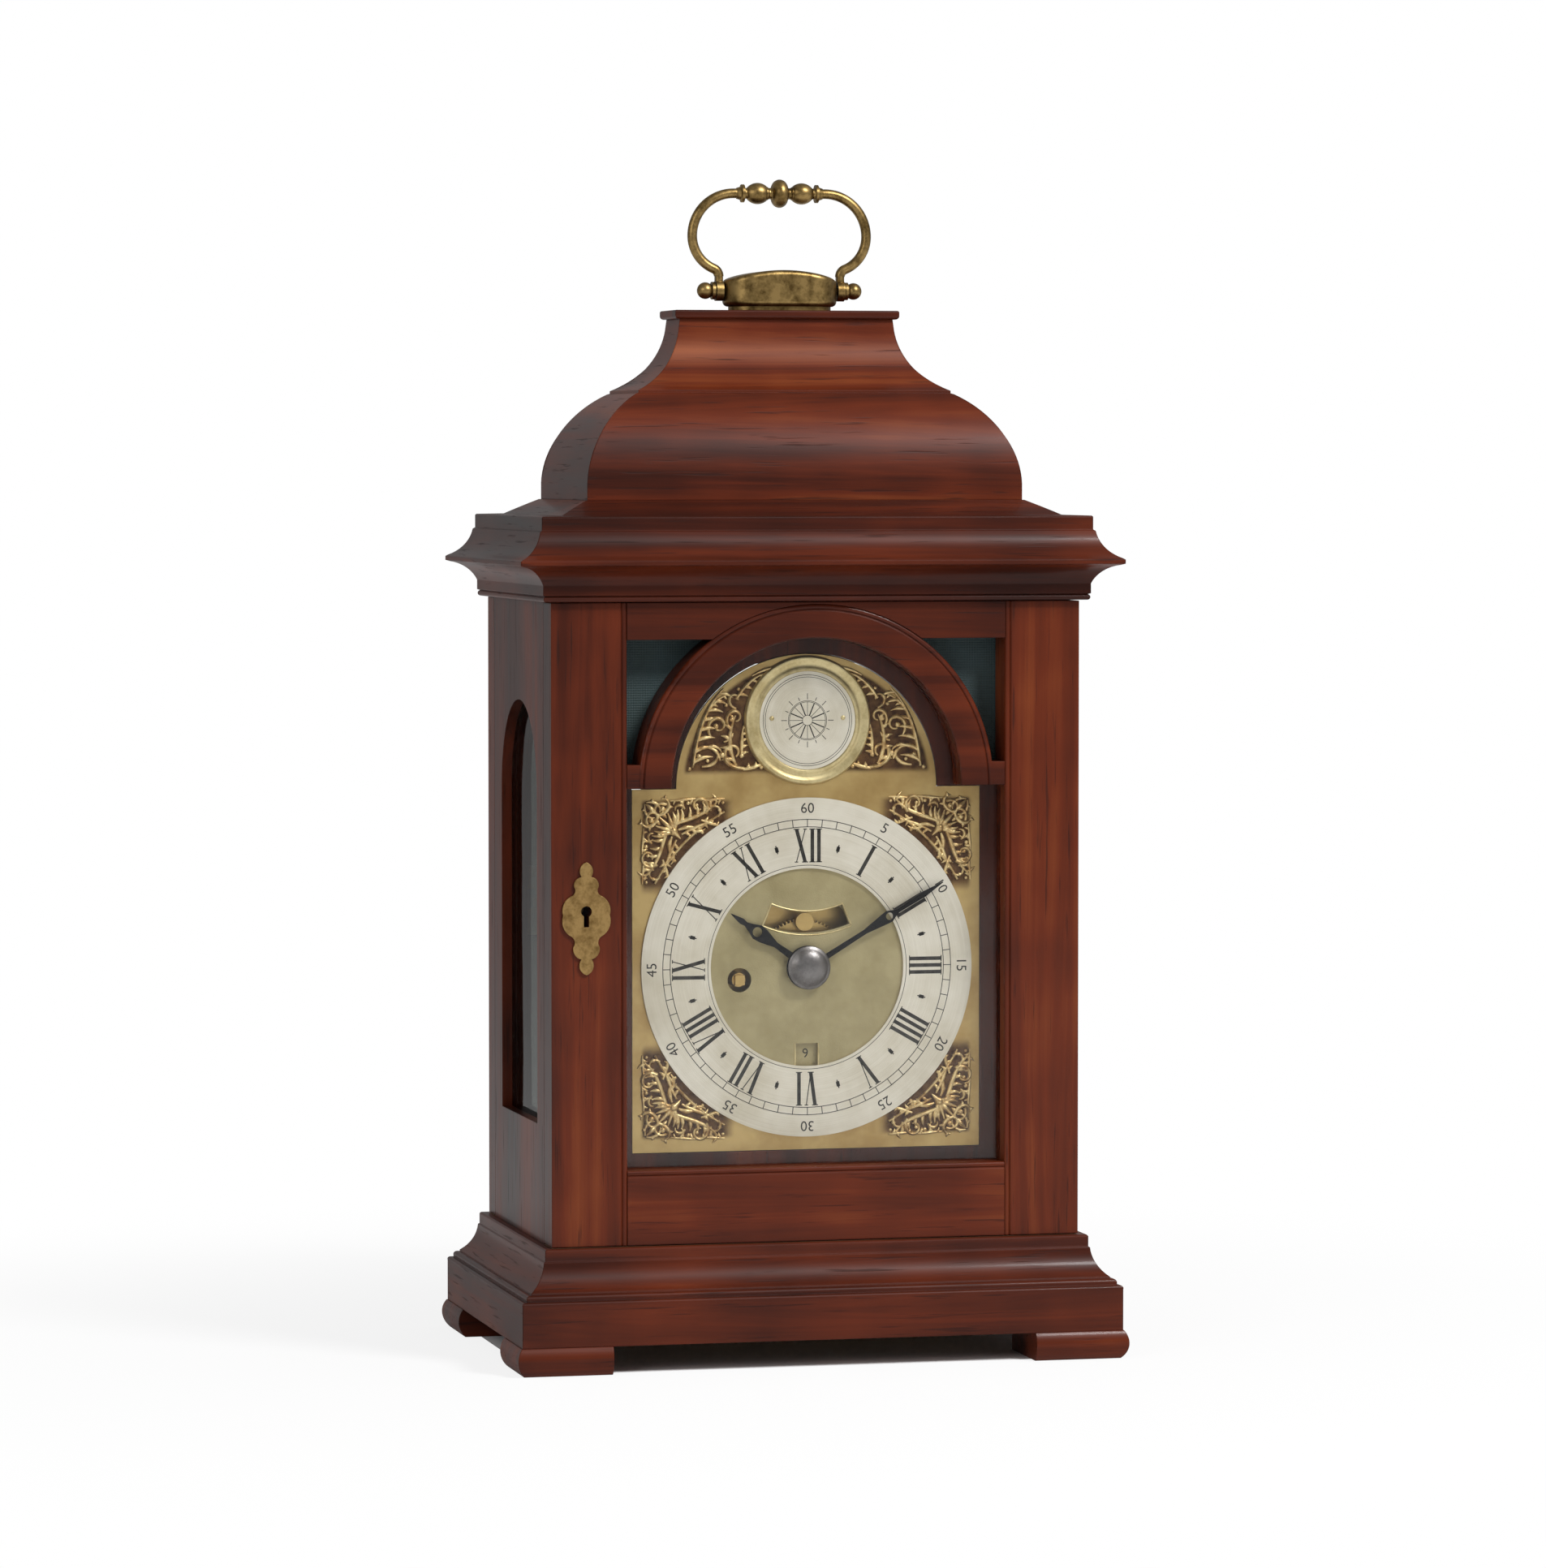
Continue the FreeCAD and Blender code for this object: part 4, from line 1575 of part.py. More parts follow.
def least_gap(stations):
    """Clear gap between turns, measured on the quarter-turn points a whole turn apart."""
    gaps = []
    for n, (point, _) in enumerate(stations):
        for other, _ in stations[n + 3:]:
            gaps.append(point.distanceToPoint(other) - 2 * GUT_RADIUS)
    return min(gaps)


def main():
    os.makedirs("parts", exist_ok=True)
    feet()
    plinth_moulding()
    bottom_board()
    side_boards()
    side_windows()
    cornice_moulding()
    bell_top()
    bell_cap()
    hinges_and_locks()
    escutcheons()
    front_door_frame()
    front_glazing()
    quadrant_silks()
    back_door()
    handle_plate()
    handle_pivots_and_bolts()
    handle_bail()
    dial_plate()
    dial_mask()
    dial_rings()
    gilt_mounts()
    dial_feet_and_studs()
    centre_arbor()
    cannon_wheel()
    minute_wheel()
    hour_wheel()
    hands()
    date_work()
    plates()
    great_wheel()
    fusee()
    barrel()
    mainspring()
    contrate_arbor()
    crown_arbor()
    cocks_and_post()
    verge_and_pendulum()
    gut_line()


main()
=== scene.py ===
# %% [markdown]
# # A bracket clock in mahogany and brass
#
# This lesson dresses a bracket clock. Its boards, doors, plates and wheels come ready made as a fixed
# frame, with every piece already in its place. What is left for Blender is what the eye enjoys: the
# polished mahogany, the engraved silvered ring, the cast and gilded mounts, the blued hands and the silk
# in the door's corners. Everything is measured in metres, so a value in millimetres is multiplied by MM.

# %% Load the frame
import math

import bmesh
import bpy
from mathutils import Matrix, Vector


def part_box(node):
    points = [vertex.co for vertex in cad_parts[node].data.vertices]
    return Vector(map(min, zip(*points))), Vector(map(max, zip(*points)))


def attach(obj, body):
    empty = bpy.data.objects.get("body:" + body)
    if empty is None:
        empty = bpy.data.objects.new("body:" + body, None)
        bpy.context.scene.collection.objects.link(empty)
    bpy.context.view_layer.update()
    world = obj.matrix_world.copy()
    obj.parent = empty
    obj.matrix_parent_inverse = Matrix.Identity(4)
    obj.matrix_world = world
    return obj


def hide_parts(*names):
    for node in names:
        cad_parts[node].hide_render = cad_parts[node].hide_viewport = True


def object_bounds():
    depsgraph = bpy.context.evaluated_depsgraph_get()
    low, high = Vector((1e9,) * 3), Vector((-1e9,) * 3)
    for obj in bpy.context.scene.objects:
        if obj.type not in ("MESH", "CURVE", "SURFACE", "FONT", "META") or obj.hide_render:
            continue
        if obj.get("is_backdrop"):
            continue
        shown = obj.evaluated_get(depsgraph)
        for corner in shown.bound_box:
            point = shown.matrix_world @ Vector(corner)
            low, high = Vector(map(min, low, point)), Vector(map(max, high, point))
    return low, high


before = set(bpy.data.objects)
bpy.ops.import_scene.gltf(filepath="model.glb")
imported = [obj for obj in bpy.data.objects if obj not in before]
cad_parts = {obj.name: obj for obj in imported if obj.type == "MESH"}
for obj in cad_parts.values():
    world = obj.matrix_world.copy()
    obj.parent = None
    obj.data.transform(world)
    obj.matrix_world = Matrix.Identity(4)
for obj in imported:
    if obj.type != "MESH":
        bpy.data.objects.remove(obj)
frame_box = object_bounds()
MM = 0.001

# %% [markdown]
# ## Where things are
#
# The packed nodes tell where everything sits, so nothing is typed twice. The chapter ring gives the
# dial's centre and front, and the disc in the arch gives the boss.

# %% Measure the dial
ring_low, ring_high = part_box("chapter_ring")
boss_low, boss_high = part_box("boss_disc")
plate_low, plate_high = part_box("dial_plate")
DIAL = (ring_low + ring_high) / 2
DIAL_FACE = plate_low.y
RING_FACE = ring_low.y
RING_IN = 42.3 * MM
BOSS = (boss_low + boss_high) / 2
DISC_FACE = boss_low.y
print("dial centre height", round(DIAL.z / MM, 1), "mm")
print("chapter ring across", round((ring_high.x - ring_low.x) / MM, 1), "mm")

# %% [markdown]
# ## The camera
#
# The camera stands well back, a little to the clock's left and just above its middle. A long lens
# keeps the uprights nearly parallel. The angles were found by laying the clock's straight edges over the
# picture, so the camera is placed by numbers and not aimed by eye.

# %% Place the camera
LENS = 151.8
CAMERA_PLACE = (-0.66899, -2.78392, 0.38563)
TILTED_DOWN = 2.848
TURNED_RIGHT = 13.457


def added(name, data):
    """A new object in the scene."""
    thing = bpy.data.objects.new(name, data)
    bpy.context.scene.collection.objects.link(thing)
    return thing


camera_data = bpy.data.cameras.new("camera")
camera_data.sensor_width = 36
camera_data.lens = LENS
camera_data.clip_end = 30
camera = added("camera", camera_data)
camera.location = CAMERA_PLACE
camera.rotation_euler = (math.radians(90 - TILTED_DOWN), 0, math.radians(-TURNED_RIGHT))
bpy.context.scene.camera = camera
print("lens", LENS, "mm")

# %% [markdown]
# ## Wires: shader maths as plain sums
#
# Materials here are sums over the place of a point on the piece. Drawing those sums as nodes by hand is
# slow to read. This small class wraps an output socket, so that `a * b + c` adds the Math nodes itself.
# Any other node comes from `make`, which sets the node's settings first and then its sockets.

# %% A class for wires
class Wire:
    """One output socket of a shader tree. Operators on it add Math nodes."""

    def __init__(self, tree, socket):
        self.tree = tree
        self.socket = socket

    def make(self, kind, values=None, output=0, stops=None, **settings):
        node = self.tree.nodes.new("ShaderNode" + kind)
        for name, setting in settings.items():
            setattr(node, name, setting)
        if stops:
            ramp = node.color_ramp.elements
            ramp.remove(ramp[1])
            ramp[0].position = stops[0][0]
            ramp[0].color = (*stops[0][1], 1)
            for place, colour in stops[1:]:
                ramp.new(place).color = (*colour, 1)
        for name, value in (values or {}).items():
            if isinstance(value, Wire):
                self.tree.links.new(value.socket, node.inputs[name])
            else:
                node.inputs[name].default_value = value
        return Wire(self.tree, node.outputs[output])

    def math(self, operation, *others):
        values = dict(enumerate([self, *others]))
        return self.make("Math", values, operation=operation)

    def __add__(self, other):
        return self.math("ADD", other)

    def __mul__(self, other):
        return self.math("MULTIPLY", other)

    def __sub__(self, other):
        return self.math("SUBTRACT", other)

    def __rsub__(self, other):
        return self.make("Math", {0: other, 1: self}, operation="SUBTRACT")

    def __gt__(self, other):
        return self.math("GREATER_THAN", other)

    def __lt__(self, other):
        return self.math("LESS_THAN", other)

    __radd__ = __add__
    __rmul__ = __mul__

    def size(self):
        """The value without its sign."""
        return self.math("ABSOLUTE")

    def ease(self, low, high):
        """0 below low and 1 above high, with a soft step between."""
        values = {0: self, 1: low, 2: high}
        return self.make("MapRange", values, interpolation_type="SMOOTHSTEP")

    def pick(self, when_0, when_1):
        """A mix of two colours, or of two vectors, with this value as its factor."""
        mixed = {0: self}
        for slot, colour in ((6, when_0), (7, when_1)):
            mixed[slot] = colour if isinstance(colour, Wire) else (*colour, 1)
        return self.make("Mix", mixed, output=2, data_type="RGBA")

    def ramp(self, *stops):
        return self.make("ValToRGB", {0: self}, stops=stops)

    def axes(self):
        """The three parts of a vector."""
        node = self.make("SeparateXYZ", {0: self})
        outputs = node.socket.node.outputs
        return [Wire(self.tree, outputs[n]) for n in range(3)]

    def noise(self, scale, detail=3.0, roughness=0.5, distortion=0.0):
        values = {"Vector": self, "Scale": scale, "Detail": detail, "Roughness": roughness}
        values["Distortion"] = distortion
        return self.make("TexNoise", values)

    def waves(self, scale, distortion, direction):
        """Even ribs that cross the given direction."""
        values = {"Vector": self, "Scale": scale, "Distortion": distortion}
        return self.make("TexWave", values, bands_direction=direction)

    def stretched(self, *scale):
        return self.make("Mapping", {"Vector": self, "Scale": scale})


print("wires carry", ", ".join(n for n in vars(Wire) if n.isalpha()))

# %% [markdown]
# ## From wires to a material
#
# Every finish ends in one Principled shader. `finish_of` starts a material and hands over the place of a
# point on the piece. `surface` fills the shader's sockets and joins it to the output. A height is turned
# into a bump here, so that a finish only says how high its surface is.

# %% Start and close a material
def finish_of(name):
    """A new material and a wire with the place of a point, in metres."""
    material = bpy.data.materials.new(name)
    material.use_nodes = True
    tree = material.node_tree
    tree.nodes.clear()
    place = tree.nodes.new("ShaderNodeTexCoord").outputs["Object"]
    return material, Wire(tree, place)


def close(material, shader):
    tree = material.node_tree
    output = tree.nodes.new("ShaderNodeOutputMaterial")
    tree.links.new(shader.socket, output.inputs["Surface"])
    return material


def surface(material, place, height=None, depth=0.0001, edge=0.0, **sockets):
    """Principled shader. height is a wire from 0 to 1 that stands depth metres tall."""
    values = {name.replace("_", " "): value for name, value in sockets.items()}
    normal = None
    if edge:
        normal = place.make("Bevel", {"Radius": edge}, samples=4)
    if height is not None:
        bump = {"Height": height, "Distance": depth}
        if normal is not None:
            bump["Normal"] = normal
        normal = place.make("Bump", bump)
    if normal is not None:
        values["Normal"] = normal
    return close(material, place.make("BsdfPrincipled", values))


print("finishes end in a Principled shader")

# %% [markdown]
# ## Mahogany
#
# Old mahogany is dark red-brown, with long streaks, short open pores along the grain and a soft mottle
# across it. The polish fills it with a thin glossy coat and softens every arris. Noise that is stretched
# along the grain gives the streaks and the pores.

# %% Mahogany finish
DARK = (0.012, 0.0028, 0.0015)
BROWN = (0.044, 0.0074, 0.0026)
RED = (0.100, 0.0160, 0.0042)
TAN = (0.215, 0.0520, 0.0130)
GRAIN_DRAWN = 0.045


def grain_place(place, along):
    """Place with the axis called along drawn out, so that noise becomes grain."""
    scale = [1.0, 1.0, 1.0]
    scale["xyz".index(along)] = GRAIN_DRAWN
    return place.stretched(*scale)


def mahogany(name, along="x", turned=None, turned_to="y", light=1.0, seed=0.0):
    """Polished mahogany with its grain along one axis, or along turned_to where the mask turned is 1."""
    material, place = finish_of(name)
    grain = grain_place(place, along)
    if turned is not None:
        mask = turned(place)
        grain = mask.pick(grain, grain_place(place, turned_to))
    grain = grain.make("VectorMath", {0: grain, 1: (seed, seed * 0.7, seed * 0.3)})
    streaks = grain.noise(60, 5, 0.6, 0.6)
    broad = grain.noise(17, 2, 0.5, 0.8)
    mottle = place.noise(22, 2, 0.5)
    pores = grain.noise(620, 2, 0.6).ease(0.60, 0.72)
    tone = (streaks * 0.80 + broad * 0.70 + mottle * 0.30 - 0.42) * light
    colour = tone.ramp((0.20, DARK), (0.40, BROWN), (0.58, RED), (0.84, TAN))
    colour = (pores * 0.55).pick(colour, DARK)
    roughness = 0.30 + streaks * 0.16 + pores * 0.15
    height = streaks * 0.25 + (1 - pores) * 0.5
    return surface(
        material, place, height, 0.00006, edge=0.0007, Base_Color=colour, Roughness=roughness,
        Specular_IOR_Level=0.12, Coat_Weight=0.11, Coat_Roughness=0.10,
    )


print("tones from", DARK, "to", TAN)

# %% [markdown]
# ### Where the grain turns
#
# A mitred moulding runs round the clock, and its grain runs with it. So the finish can be given a mask
# that is 1 on the sides, where the grain turns. On the bell the mitre leans, as its top is not square.

# %% Cut the mahogany for each place
BODY_HALF = (115 * MM, 69 * MM)
BELL_HALF = (95.2 * MM, 49.2 * MM)
BELL_SLOPE = 0.75
BACK_STILE_IN = 89 * MM


def mitred(half_width, half_depth, slope=1.0):
    """Mask that is 1 on the short sides of a mitred frame."""
    def mask(place):
        x, y, _ = place.axes()
        return (x.size() - half_width) * slope > y.size() - half_depth
    return mask


def beyond(axis, distance):
    """Mask that is 1 where an axis is further out than distance."""
    return lambda place: place.axes()["xyz".index(axis)].size() > distance


upright = mahogany("mahogany upright", "z", seed=3.0)
level = mahogany("mahogany level", "x", seed=7.0)
# The side boards, with the beads and mask that share their finish, are toned down to 0.9: painted shade on
# the sides away from the lamp.
side_board = mahogany("mahogany side", "z", seed=11.0, light=0.9)
moulding = mahogany("mahogany moulding", "x", mitred(*BODY_HALF), light=1.02, seed=5.0)
# The bell is toned up to 1.12: painted light where its top faces the lamp.
bell = mahogany("mahogany bell", "x", mitred(*BELL_HALF, BELL_SLOPE), light=1.12, seed=2.0)
back_frame = mahogany("mahogany back", "x", beyond("x", BACK_STILE_IN), "z", seed=9.0)
print("mahogany in", len([m for m in bpy.data.materials if "mahogany" in m.name]), "cuts")

# %% [markdown]
# ## Plain wood and glass
#
# The boards that nobody sees are plain oak, with no polish. The panes are thin old glass. It mostly lets
# light through, and its skin mirrors a little more at a low angle, which a Fresnel factor gives. The side
# panes get a grey-green tint that dims the view into the case, as painted shade for its dark inside.

# %% Oak and glass
def plain_oak():
    material, place = finish_of("oak")
    grain = grain_place(place, "x")
    lines = grain.noise(110, 4, 0.6, 0.4)
    colour = lines.ramp(
        (0.3, (0.13, 0.075, 0.035)), (0.55, (0.23, 0.14, 0.07)), (0.75, (0.32, 0.21, 0.11)),
    )
    return surface(material, place, lines, 0.0001, Base_Color=colour, Roughness=0.75)


def window_glass(name, tint):
    material, place = finish_of(name)
    waves = place.make("Bump", {"Height": place.noise(22, 1), "Distance": 0.0004})
    facing = place.make("Fresnel", {"IOR": 1.45, "Normal": waves})
    clear = place.make("BsdfTransparent", {"Color": (*tint, 1)})
    mirror = place.make("BsdfAnisotropic", {"Color": (1, 1, 1, 1), "Roughness": 0.03, "Normal": waves})
    return close(material, place.make("MixShader", {0: facing * 0.45, 1: clear, 2: mirror}))


oak = plain_oak()
glass = window_glass("old glass", (0.985, 0.988, 0.982))
# The side panes' grey-green tint dims everything seen through them: painted shade for the dark inside of
# the case.
side_glass = window_glass("shade tinted glass", (0.62, 0.66, 0.63))
print("made", oak.name, glass.name, "and", side_glass.name)

# %% [markdown]
# ## Metals
#
# Brass is one recipe with several surfaces. The movement is bright, the handle is worn and dull in its
# hollows, and the mounts are gilded. Silvered brass is pale and matt, brushed in circles round the dial.
# A noise of two sizes darkens each metal unevenly, as hands and years do.

# %% Brass, gilt and steel
def metal(name, light, dark, roughness, wear=40.0, depth=0.00003, brushed=None, metallic=1.0):
    """Metal that is dark in patches. brushed draws the fine scratches out along one axis."""
    material, place = finish_of(name)
    patches = place.noise(wear, 4, 0.6)
    lines = grain_place(place, brushed) if brushed else place
    fine = lines.noise(900, 2, 0.5)
    colour = (patches * 0.8 + fine * 0.2).ramp((0.36, dark), (0.58, light))
    rough = roughness + patches * 0.12 + fine * 0.08
    return surface(
        material, place, fine, depth, 0.0003, Base_Color=colour, Roughness=rough, Metallic=metallic,
    )


movement_brass = metal("movement brass", (0.62, 0.43, 0.17), (0.50, 0.335, 0.125), 0.26, brushed="x")
handle_brass = metal("handle brass", (0.30, 0.20, 0.075), (0.11, 0.068, 0.022), 0.28, wear=160)
plate_brass = metal("escutcheon brass", (0.34, 0.22, 0.085), (0.17, 0.10, 0.034), 0.36, wear=220)
gilt = metal("gilding", (0.86, 0.66, 0.33), (0.46, 0.27, 0.10), 0.28, wear=260, metallic=0.75)
ring_brass = metal("ring brass", (0.72, 0.60, 0.33), (0.48, 0.37, 0.17), 0.30, wear=90, metallic=0.8)
blued_steel = metal("blued steel", (0.022, 0.022, 0.025), (0.010, 0.010, 0.011), 0.34, depth=0.00001)
hand_steel = metal("collet steel", (0.24, 0.225, 0.225), (0.13, 0.12, 0.12), 0.26, wear=90)
bright_steel = metal("bright steel", (0.40, 0.39, 0.39), (0.24, 0.23, 0.22), 0.30, brushed="y")
print("metals made")

# %% [markdown]
# ## The dial's own finishes
#
# The dial plate is one sheet of brass with three surfaces. Inside the chapter ring it is matted with a
# punch, which gives a pale olive cream. The border is polished. Behind the mounts it is painted dark,
# partly as tarnish where no cloth reaches and partly as painted shade from the mounts. All three come from
# a point's place about the dial's centre. The silvered pieces are brushed in circles, so their noise is
# drawn out round their own centre.

# %% Dial plate
MOUNT_OUT = 73 * MM
MOUNT_IN = (31 * MM, 37 * MM)
SOFT_EDGE = 2.5 * MM
ARCH_SPRING = 244 * MM
ARCH_EDGE = 55 * MM
ARCH_FOOT_FADE = (249.5 * MM, 252.5 * MM)


def dial_brass():
    material, place = finish_of("dial brass")
    x, _, z = place.axes()
    rise = z - DIAL.z
    radius = (x * x + rise * rise).math("SQRT")
    centre = 1 - (radius > RING_IN)
    patches = place.noise(38, 4, 0.6)
    border = patches.ramp((0.38, (0.42, 0.27, 0.095)), (0.62, (0.58, 0.41, 0.17)))
    matted = patches.ramp((0.38, (0.36, 0.30, 0.155)), (0.62, (0.47, 0.40, 0.225)))
    # The dark ground behind the mounts is part tarnish and part painted shade that the mounts cast on the
    # plate.
    tarnish_and_shade = place.noise(240, 3, 0.6).ramp((0.35, (0.060, 0.024, 0.010)), (0.65, (0.16, 0.080, 0.030)))
    wide, high = x.size(), rise.size()
    corner = (MOUNT_OUT - wide).ease(0, SOFT_EDGE) * (MOUNT_OUT - high).ease(0, SOFT_EDGE)
    corner = corner * wide.ease(*MOUNT_IN) * high.ease(*MOUNT_IN)
    arch = (x * x + (z - ARCH_SPRING) * (z - ARCH_SPRING)).math("SQRT")
    in_arch = (ARCH_EDGE - arch).ease(0, 2 * MM) * z.ease(*ARCH_FOOT_FADE)
    behind = corner.math("MAXIMUM", in_arch)
    colour = centre.pick(behind.pick(border, tarnish_and_shade), matted)
    punch = place.make("TexVoronoi", {"Vector": place, "Scale": 1500.0})
    height = punch * centre * 0.6 + place.noise(500, 2) * 0.3
    rough = 0.30 + centre * 0.22 + behind * 0.25 + patches * 0.08
    return surface(
        material, place, height, 0.00008, Base_Color=colour, Roughness=rough, Metallic=0.8,
    )


def silvered(name, centre):
    """Silvered brass, brushed in circles about centre."""
    material, place = finish_of(name)
    x, _, z = place.axes()
    across, rise = x - centre.x, z - centre.z
    radius = (across * across + rise * rise).math("SQRT")
    circles = radius.make("CombineXYZ", {0: radius * 2600.0, 1: across * 14.0, 2: rise * 14.0})
    lines = circles.noise(1.0, 2, 0.5)
    patches = place.noise(30, 4, 0.6)
    tarnish, silver = (0.62, 0.56, 0.44), (0.82, 0.77, 0.67)
    colour = (patches * 0.75 + lines * 0.25).ramp((0.34, tarnish), (0.60, silver))
    rough = 0.42 + lines * 0.10
    return surface(
        material, place, lines, 0.00002, Base_Color=colour, Roughness=rough, Metallic=0.55,
    )


dial_finish = dial_brass()
silver_ring = silvered("silvered ring", DIAL)
silver_boss = silvered("silvered boss", BOSS)
date_finish = metal("date ring", (0.44, 0.375, 0.21), (0.33, 0.27, 0.14), 0.42, metallic=0.6)
print("dial finishes made")

# %% [markdown]
# ## Wax, silk and gut
#
# Engraved figures are filled with black wax, which is dull and nearly black. The corners of the door hold
# a dark blue-green silk. Its weave is two sets of fine ribs that cross, and a broad noise fades it. The
# line that pulls the fusee is twisted gut, yellow-brown and a little waxy.

# %% Wax, silk and gut finishes
def black_wax():
    material, place = finish_of("black wax")
    colour = place.noise(300, 2).ramp((0.4, (0.012, 0.010, 0.009)), (0.7, (0.045, 0.040, 0.034)))
    return surface(material, place, Base_Color=colour, Roughness=0.5, Specular_IOR_Level=0.3)


def silk_cloth():
    material, place = finish_of("silk")
    ribs = place.waves(420.0, 0.6, "X")
    shoots = place.waves(300.0, 0.6, "Z")
    fade = place.noise(28, 3, 0.6)
    weave = ribs * 0.5 + shoots * 0.5
    dye = fade * 0.8 + weave * 0.2
    colour = dye.ramp((0.36, (0.010, 0.026, 0.022)), (0.62, (0.022, 0.047, 0.052)))
    return surface(
        material, place, weave, 0.00015, Base_Color=colour, Roughness=0.55 + weave * 0.1,
        Sheen_Weight=0.15,
    )


def twisted_gut():
    material, place = finish_of("twisted gut")
    twist = place.waves(260.0, 1.2, "DIAGONAL")
    stain = twist * 0.5 + place.noise(120, 3) * 0.5
    colour = stain.ramp((0.3, (0.20, 0.12, 0.05)), (0.7, (0.42, 0.30, 0.15)))
    return surface(material, place, twist, 0.00012, Base_Color=colour, Roughness=0.5)


wax = black_wax()
silk = silk_cloth()
gut = twisted_gut()
print("made", wax.name, silk.name, "and", gut.name)

# %% [markdown]
# ## Give the ready-made pieces their finish
#
# A node of the frame is never moved or edited. It only gets a material, by name. Whatever isn't named
# belongs to the movement and is brass.

# %% Dress the frame's nodes
finish_by_node = {
    upright: ["front_door_stiles"],
    level: ["front_door_bottom_rail", "front_door_top_rail", "front_door_arch", "bell_cap", "feet"],
    side_board: ["side_board_left", "side_board_right", "side_glass_beads", "dial_mask"],
    moulding: ["plinth_moulding", "cornice_moulding"],
    bell: ["bell_top"],
    back_frame: ["back_door_frame", "back_glass_beads", "front_glass_beads"],
    oak: ["bottom_board", "top_board", "seat_board"],
    glass: ["front_glass", "back_glass"],
    side_glass: ["side_glasses"],
    silk: ["corner_silks"],
    handle_brass: ["handle_plate", "handle_pivots_and_bolts", "handle_bail"],
    plate_brass: ["front_escutcheon", "back_escutcheon"],
    dial_finish: ["dial_plate"],
    gilt: ["spandrels_and_boss_ring"],
    silver_ring: ["chapter_ring"],
    date_finish: ["date_ring"],
    silver_boss: ["boss_disc"],
    blued_steel: ["hour_hand", "minute_hand"],
    bright_steel: [
        "front_lock_bolt", "back_lock_bolt", "barrel_arbor_and_click", "mainspring",
        "verge_and_pendulum_rod",
    ],
    gut: ["gut_line"],
}
by_name = {name: material for material, names in finish_by_node.items() for name in names}
for name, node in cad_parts.items():
    node.data.materials.clear()
    node.data.materials.append(by_name.get(name, movement_brass))
print(len(by_name), "nodes by name, the others in brass")

# %% [markdown]
# ## The studio
#
# A soft lamp above and to the right of the camera gives the front its light, and a weaker one keeps the
# left from going black. The floor is pale. Seen by the camera, also through a pane, it fades into the
# white all round and keeps the clock's shadow close to the feet. Light that bounces off the clock finds
# only a third of that white, or the polish would look milky.

# %% Lamps and world
CLOCK_MIDDLE = Vector((0, 0, 0.25))
SKY = 0.35


def soft_lamp(name, place, size, watts):
    """A round lamp that faces the middle of the clock."""
    data = bpy.data.lights.new(name, "AREA")
    data.shape = "DISK"
    data.size = size
    data.energy = watts
    lamp = added(name, data)
    lamp.location = place
    lamp.rotation_euler = (CLOCK_MIDDLE - Vector(place)).to_track_quat("-Z", "Y").to_euler()


def seen_directly(tree):
    """1 for rays from the camera or through a window, 0 for the rest."""
    paths = tree.nodes.new("ShaderNodeLightPath").outputs
    camera_ray = Wire(tree, paths["Is Camera Ray"])
    return camera_ray.math("MAXIMUM", Wire(tree, paths["Is Transmission Ray"]))


soft_lamp("key", (1.25, -1.75, 2.2), 0.8, 82)
soft_lamp("fill", (-1.8, -1.6, 1.2), 1.2, 12)

world = bpy.data.worlds.new("white studio")
world.use_nodes = True
tree = world.node_tree
shown = seen_directly(tree)
tree.links.new((shown * (1 - SKY) + SKY).socket, tree.nodes["Background"].inputs["Strength"])
tree.nodes["Background"].inputs["Color"].default_value = (1, 1, 1, 1)
bpy.context.scene.world = world
bpy.context.scene.view_settings.view_transform = "Standard"
print("two lamps and a white world")

# %% [markdown]
# ### The floor
#
# The floor is one square sheet. Its finish mixes a pale matt white, which takes the shadow, with pure
# white, which takes over further out. Right under the clock there is no pure white, so it stays dark there.

# %% Lay the floor
FLOOR_HALF = 6
NEAR_WHITE = 0.84
FADE = (0.16, 0.60)
UNDER_HALF = (123 * MM, 78 * MM)

floor_finish, place = finish_of("pale floor")
x, y, _ = place.axes()
far = (x * x + y * y).math("SQRT").ease(*FADE)
white = place.make("Emission", {"Color": (1, 1, 1, 1)})
pale = place.make("BsdfDiffuse", {"Color": (0.86, 0.86, 0.86, 1)})
under = (x.size() < UNDER_HALF[0]) * (y.size() < UNDER_HALF[1])
share = seen_directly(floor_finish.node_tree) * (NEAR_WHITE + far * (1 - NEAR_WHITE)) * (1 - under)
close(floor_finish, place.make("MixShader", {0: share, 1: pale, 2: white}))

bm = bmesh.new()
bmesh.ops.create_grid(bm, x_segments=8, y_segments=8, size=FLOOR_HALF)
floor_mesh = bpy.data.meshes.new("floor")
bm.to_mesh(floor_mesh)
bm.free()
floor_mesh.materials.append(floor_finish)
added("floor", floor_mesh)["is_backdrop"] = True
print("floor", 2 * FLOOR_HALF, "m wide")

# %% [markdown]
# ## Helpers for small pieces
#
# New pieces are made in a bmesh and handed over finished. `finished` merges points that lie on each other,
# turns the faces outwards, gives the mesh its finish, lets it ride on its body and hides the frame's nodes
# that it stands in for.
# Pieces on the dial are drawn upright in X and Z about the dial's centre, with Y as their thickness.

# %% Hand a bmesh over as a piece
WELD = 1e-7


